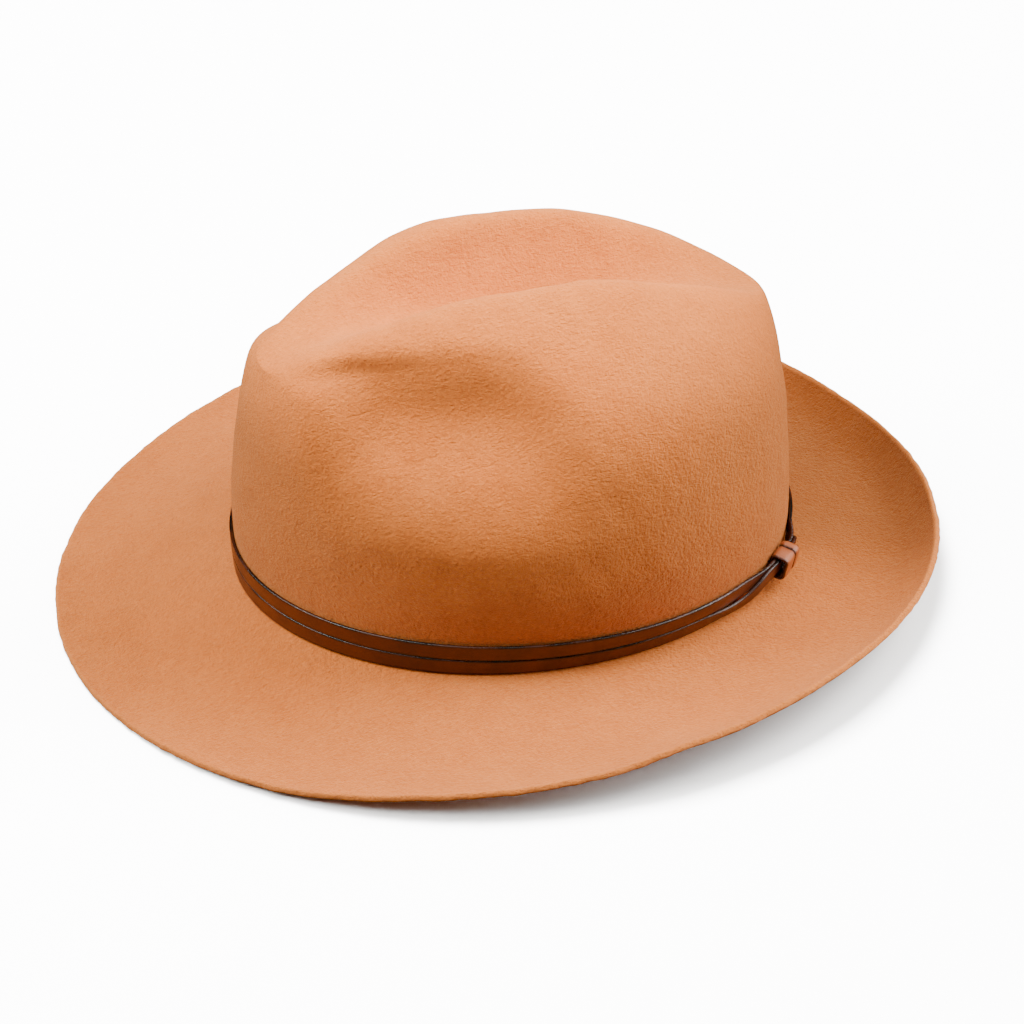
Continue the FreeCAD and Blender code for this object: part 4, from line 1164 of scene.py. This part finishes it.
# Stands in for the light that the white floor throws up under the brim
BOUNCE_SIZE = 2.4
BOUNCE_POWER = 5.0
BOUNCE_TINT = (1.0, 0.93, 0.88)
BOUNCE_HEIGHT = 0.0003
CAMERA_AZIMUTH = 65.95
CAMERA_ELEVATION = 33.60
CAMERA_ROLL = 0.23
CAMERA_DISTANCE = 1.1934
CAMERA_LENS = 118.7
SENSOR_WIDTH = 36.0
CLIP_START = 0.05
CAMERA_TARGET = (0.0303, -0.0081, 0.0426)


def make_stage():
    """White floor that sweeps up all round the hat, far off."""
    m = Nodes("white_sweep")
    haze = m.noise(2.5, 2.0, 0.5)
    m.finish(
        Base_Color=m.mix(haze, colour(0.90, 0.90, 0.905), colour(0.93, 0.93, 0.93)),
        Roughness=0.9,
        Specular_IOR_Level=0.1,
    )
    angle = np.linspace(0.0, FULL_TURN, FLOOR_COLUMNS, endpoint=False)
    turns = np.linspace(0.0, math.pi / 2.0, SWEEP_STEPS)
    line = [
        (FLOOR_RADIUS + SWEEP_RADIUS * math.sin(turn), SWEEP_RADIUS * (1.0 - math.cos(turn)))
        for turn in turns
    ]
    line.append((FLOOR_RADIUS + SWEEP_RADIUS, SWEEP_TALL))
    rows = np.stack([xyz(reach * np.sin(angle), reach * np.cos(angle), height) for reach, height in line])
    vertices = np.concatenate([rows.reshape(-1, 3), np.zeros((1, 3))])
    faces = skin_faces(len(rows), FLOOR_COLUMNS)
    faces += fan_faces(len(vertices) - 1, 0, FLOOR_COLUMNS)
    floor = add_mesh("white_floor", vertices, faces)
    floor.data.materials.append(m.material)
    floor.visible_diffuse = False
    floor.visible_glossy = False


def view_axes(azimuth, elevation):
    """Right, up and back of a camera that looks at the hat; azimuth 0 looks along +Y."""
    a, e = math.radians(azimuth), math.radians(elevation)
    right = Vector((math.cos(a), math.sin(a), 0.0))
    back = Vector((math.sin(a) * math.cos(e), -math.cos(a) * math.cos(e), math.sin(e)))
    return right, back.cross(right), back


def add_area_light(name, size, power, tint):
    light = bpy.data.lights.new(name, "AREA")
    light.size = size
    light.energy = power
    light.color = tint
    lamp = bpy.data.objects.new(name, light)
    bpy.context.scene.collection.objects.link(lamp)
    return lamp


def add_softbox(name, azimuth, elevation, distance, spread, power, tint=WARM_WHITE):
    """Square soft light aimed at the hat."""
    back = view_axes(azimuth, elevation)[2]
    lamp = add_area_light(name, spread * distance, power, tint)
    lamp.location = LAMP_TARGET + back * distance
    lamp.rotation_euler = back.to_track_quat("Z", "Y").to_euler()
    return lamp


def light_scene():
    world = bpy.data.worlds.new("studio")
    world.use_nodes = True
    background = world.node_tree.nodes["Background"].inputs
    background["Color"].default_value = colour(1.0, 0.985, 0.965)
    background["Strength"].default_value = WORLD_STRENGTH
    bpy.context.scene.world = world
    for softbox in SOFTBOXES:
        add_softbox(*softbox)
    bounce = add_area_light("floor_bounce", BOUNCE_SIZE, BOUNCE_POWER, BOUNCE_TINT)
    bounce.location = (0.0, 0.0, BOUNCE_HEIGHT)
    bounce.rotation_euler = (math.pi, 0.0, 0.0)
    bounce.visible_camera = False
    bounce.visible_glossy = False
    floor_lamp = add_softbox(*FLOOR_SOFTBOX, PURE_WHITE)
    lit = bpy.data.collections.new("lit_by_floor_softbox")
    lit.objects.link(bpy.data.objects["white_floor"])
    floor_lamp.light_linking.receiver_collection = lit


def aim_camera():
    right, up, back = view_axes(CAMERA_AZIMUTH, CAMERA_ELEVATION)
    roll = math.radians(CAMERA_ROLL)
    right, up = (
        right * math.cos(roll) - up * math.sin(roll), right * math.sin(roll) + up * math.cos(roll)
    )
    data = bpy.data.cameras.new("camera")
    data.sensor_width = SENSOR_WIDTH
    data.lens = CAMERA_LENS
    data.clip_start = CLIP_START
    camera = bpy.data.objects.new("camera", data)
    camera.rotation_euler = Matrix((right, up, back)).transposed().to_euler()
    camera.location = Vector(CAMERA_TARGET) + back * CAMERA_DISTANCE
    bpy.context.scene.collection.objects.link(camera)
    bpy.context.scene.camera = camera


make_stage()
light_scene()
aim_camera()
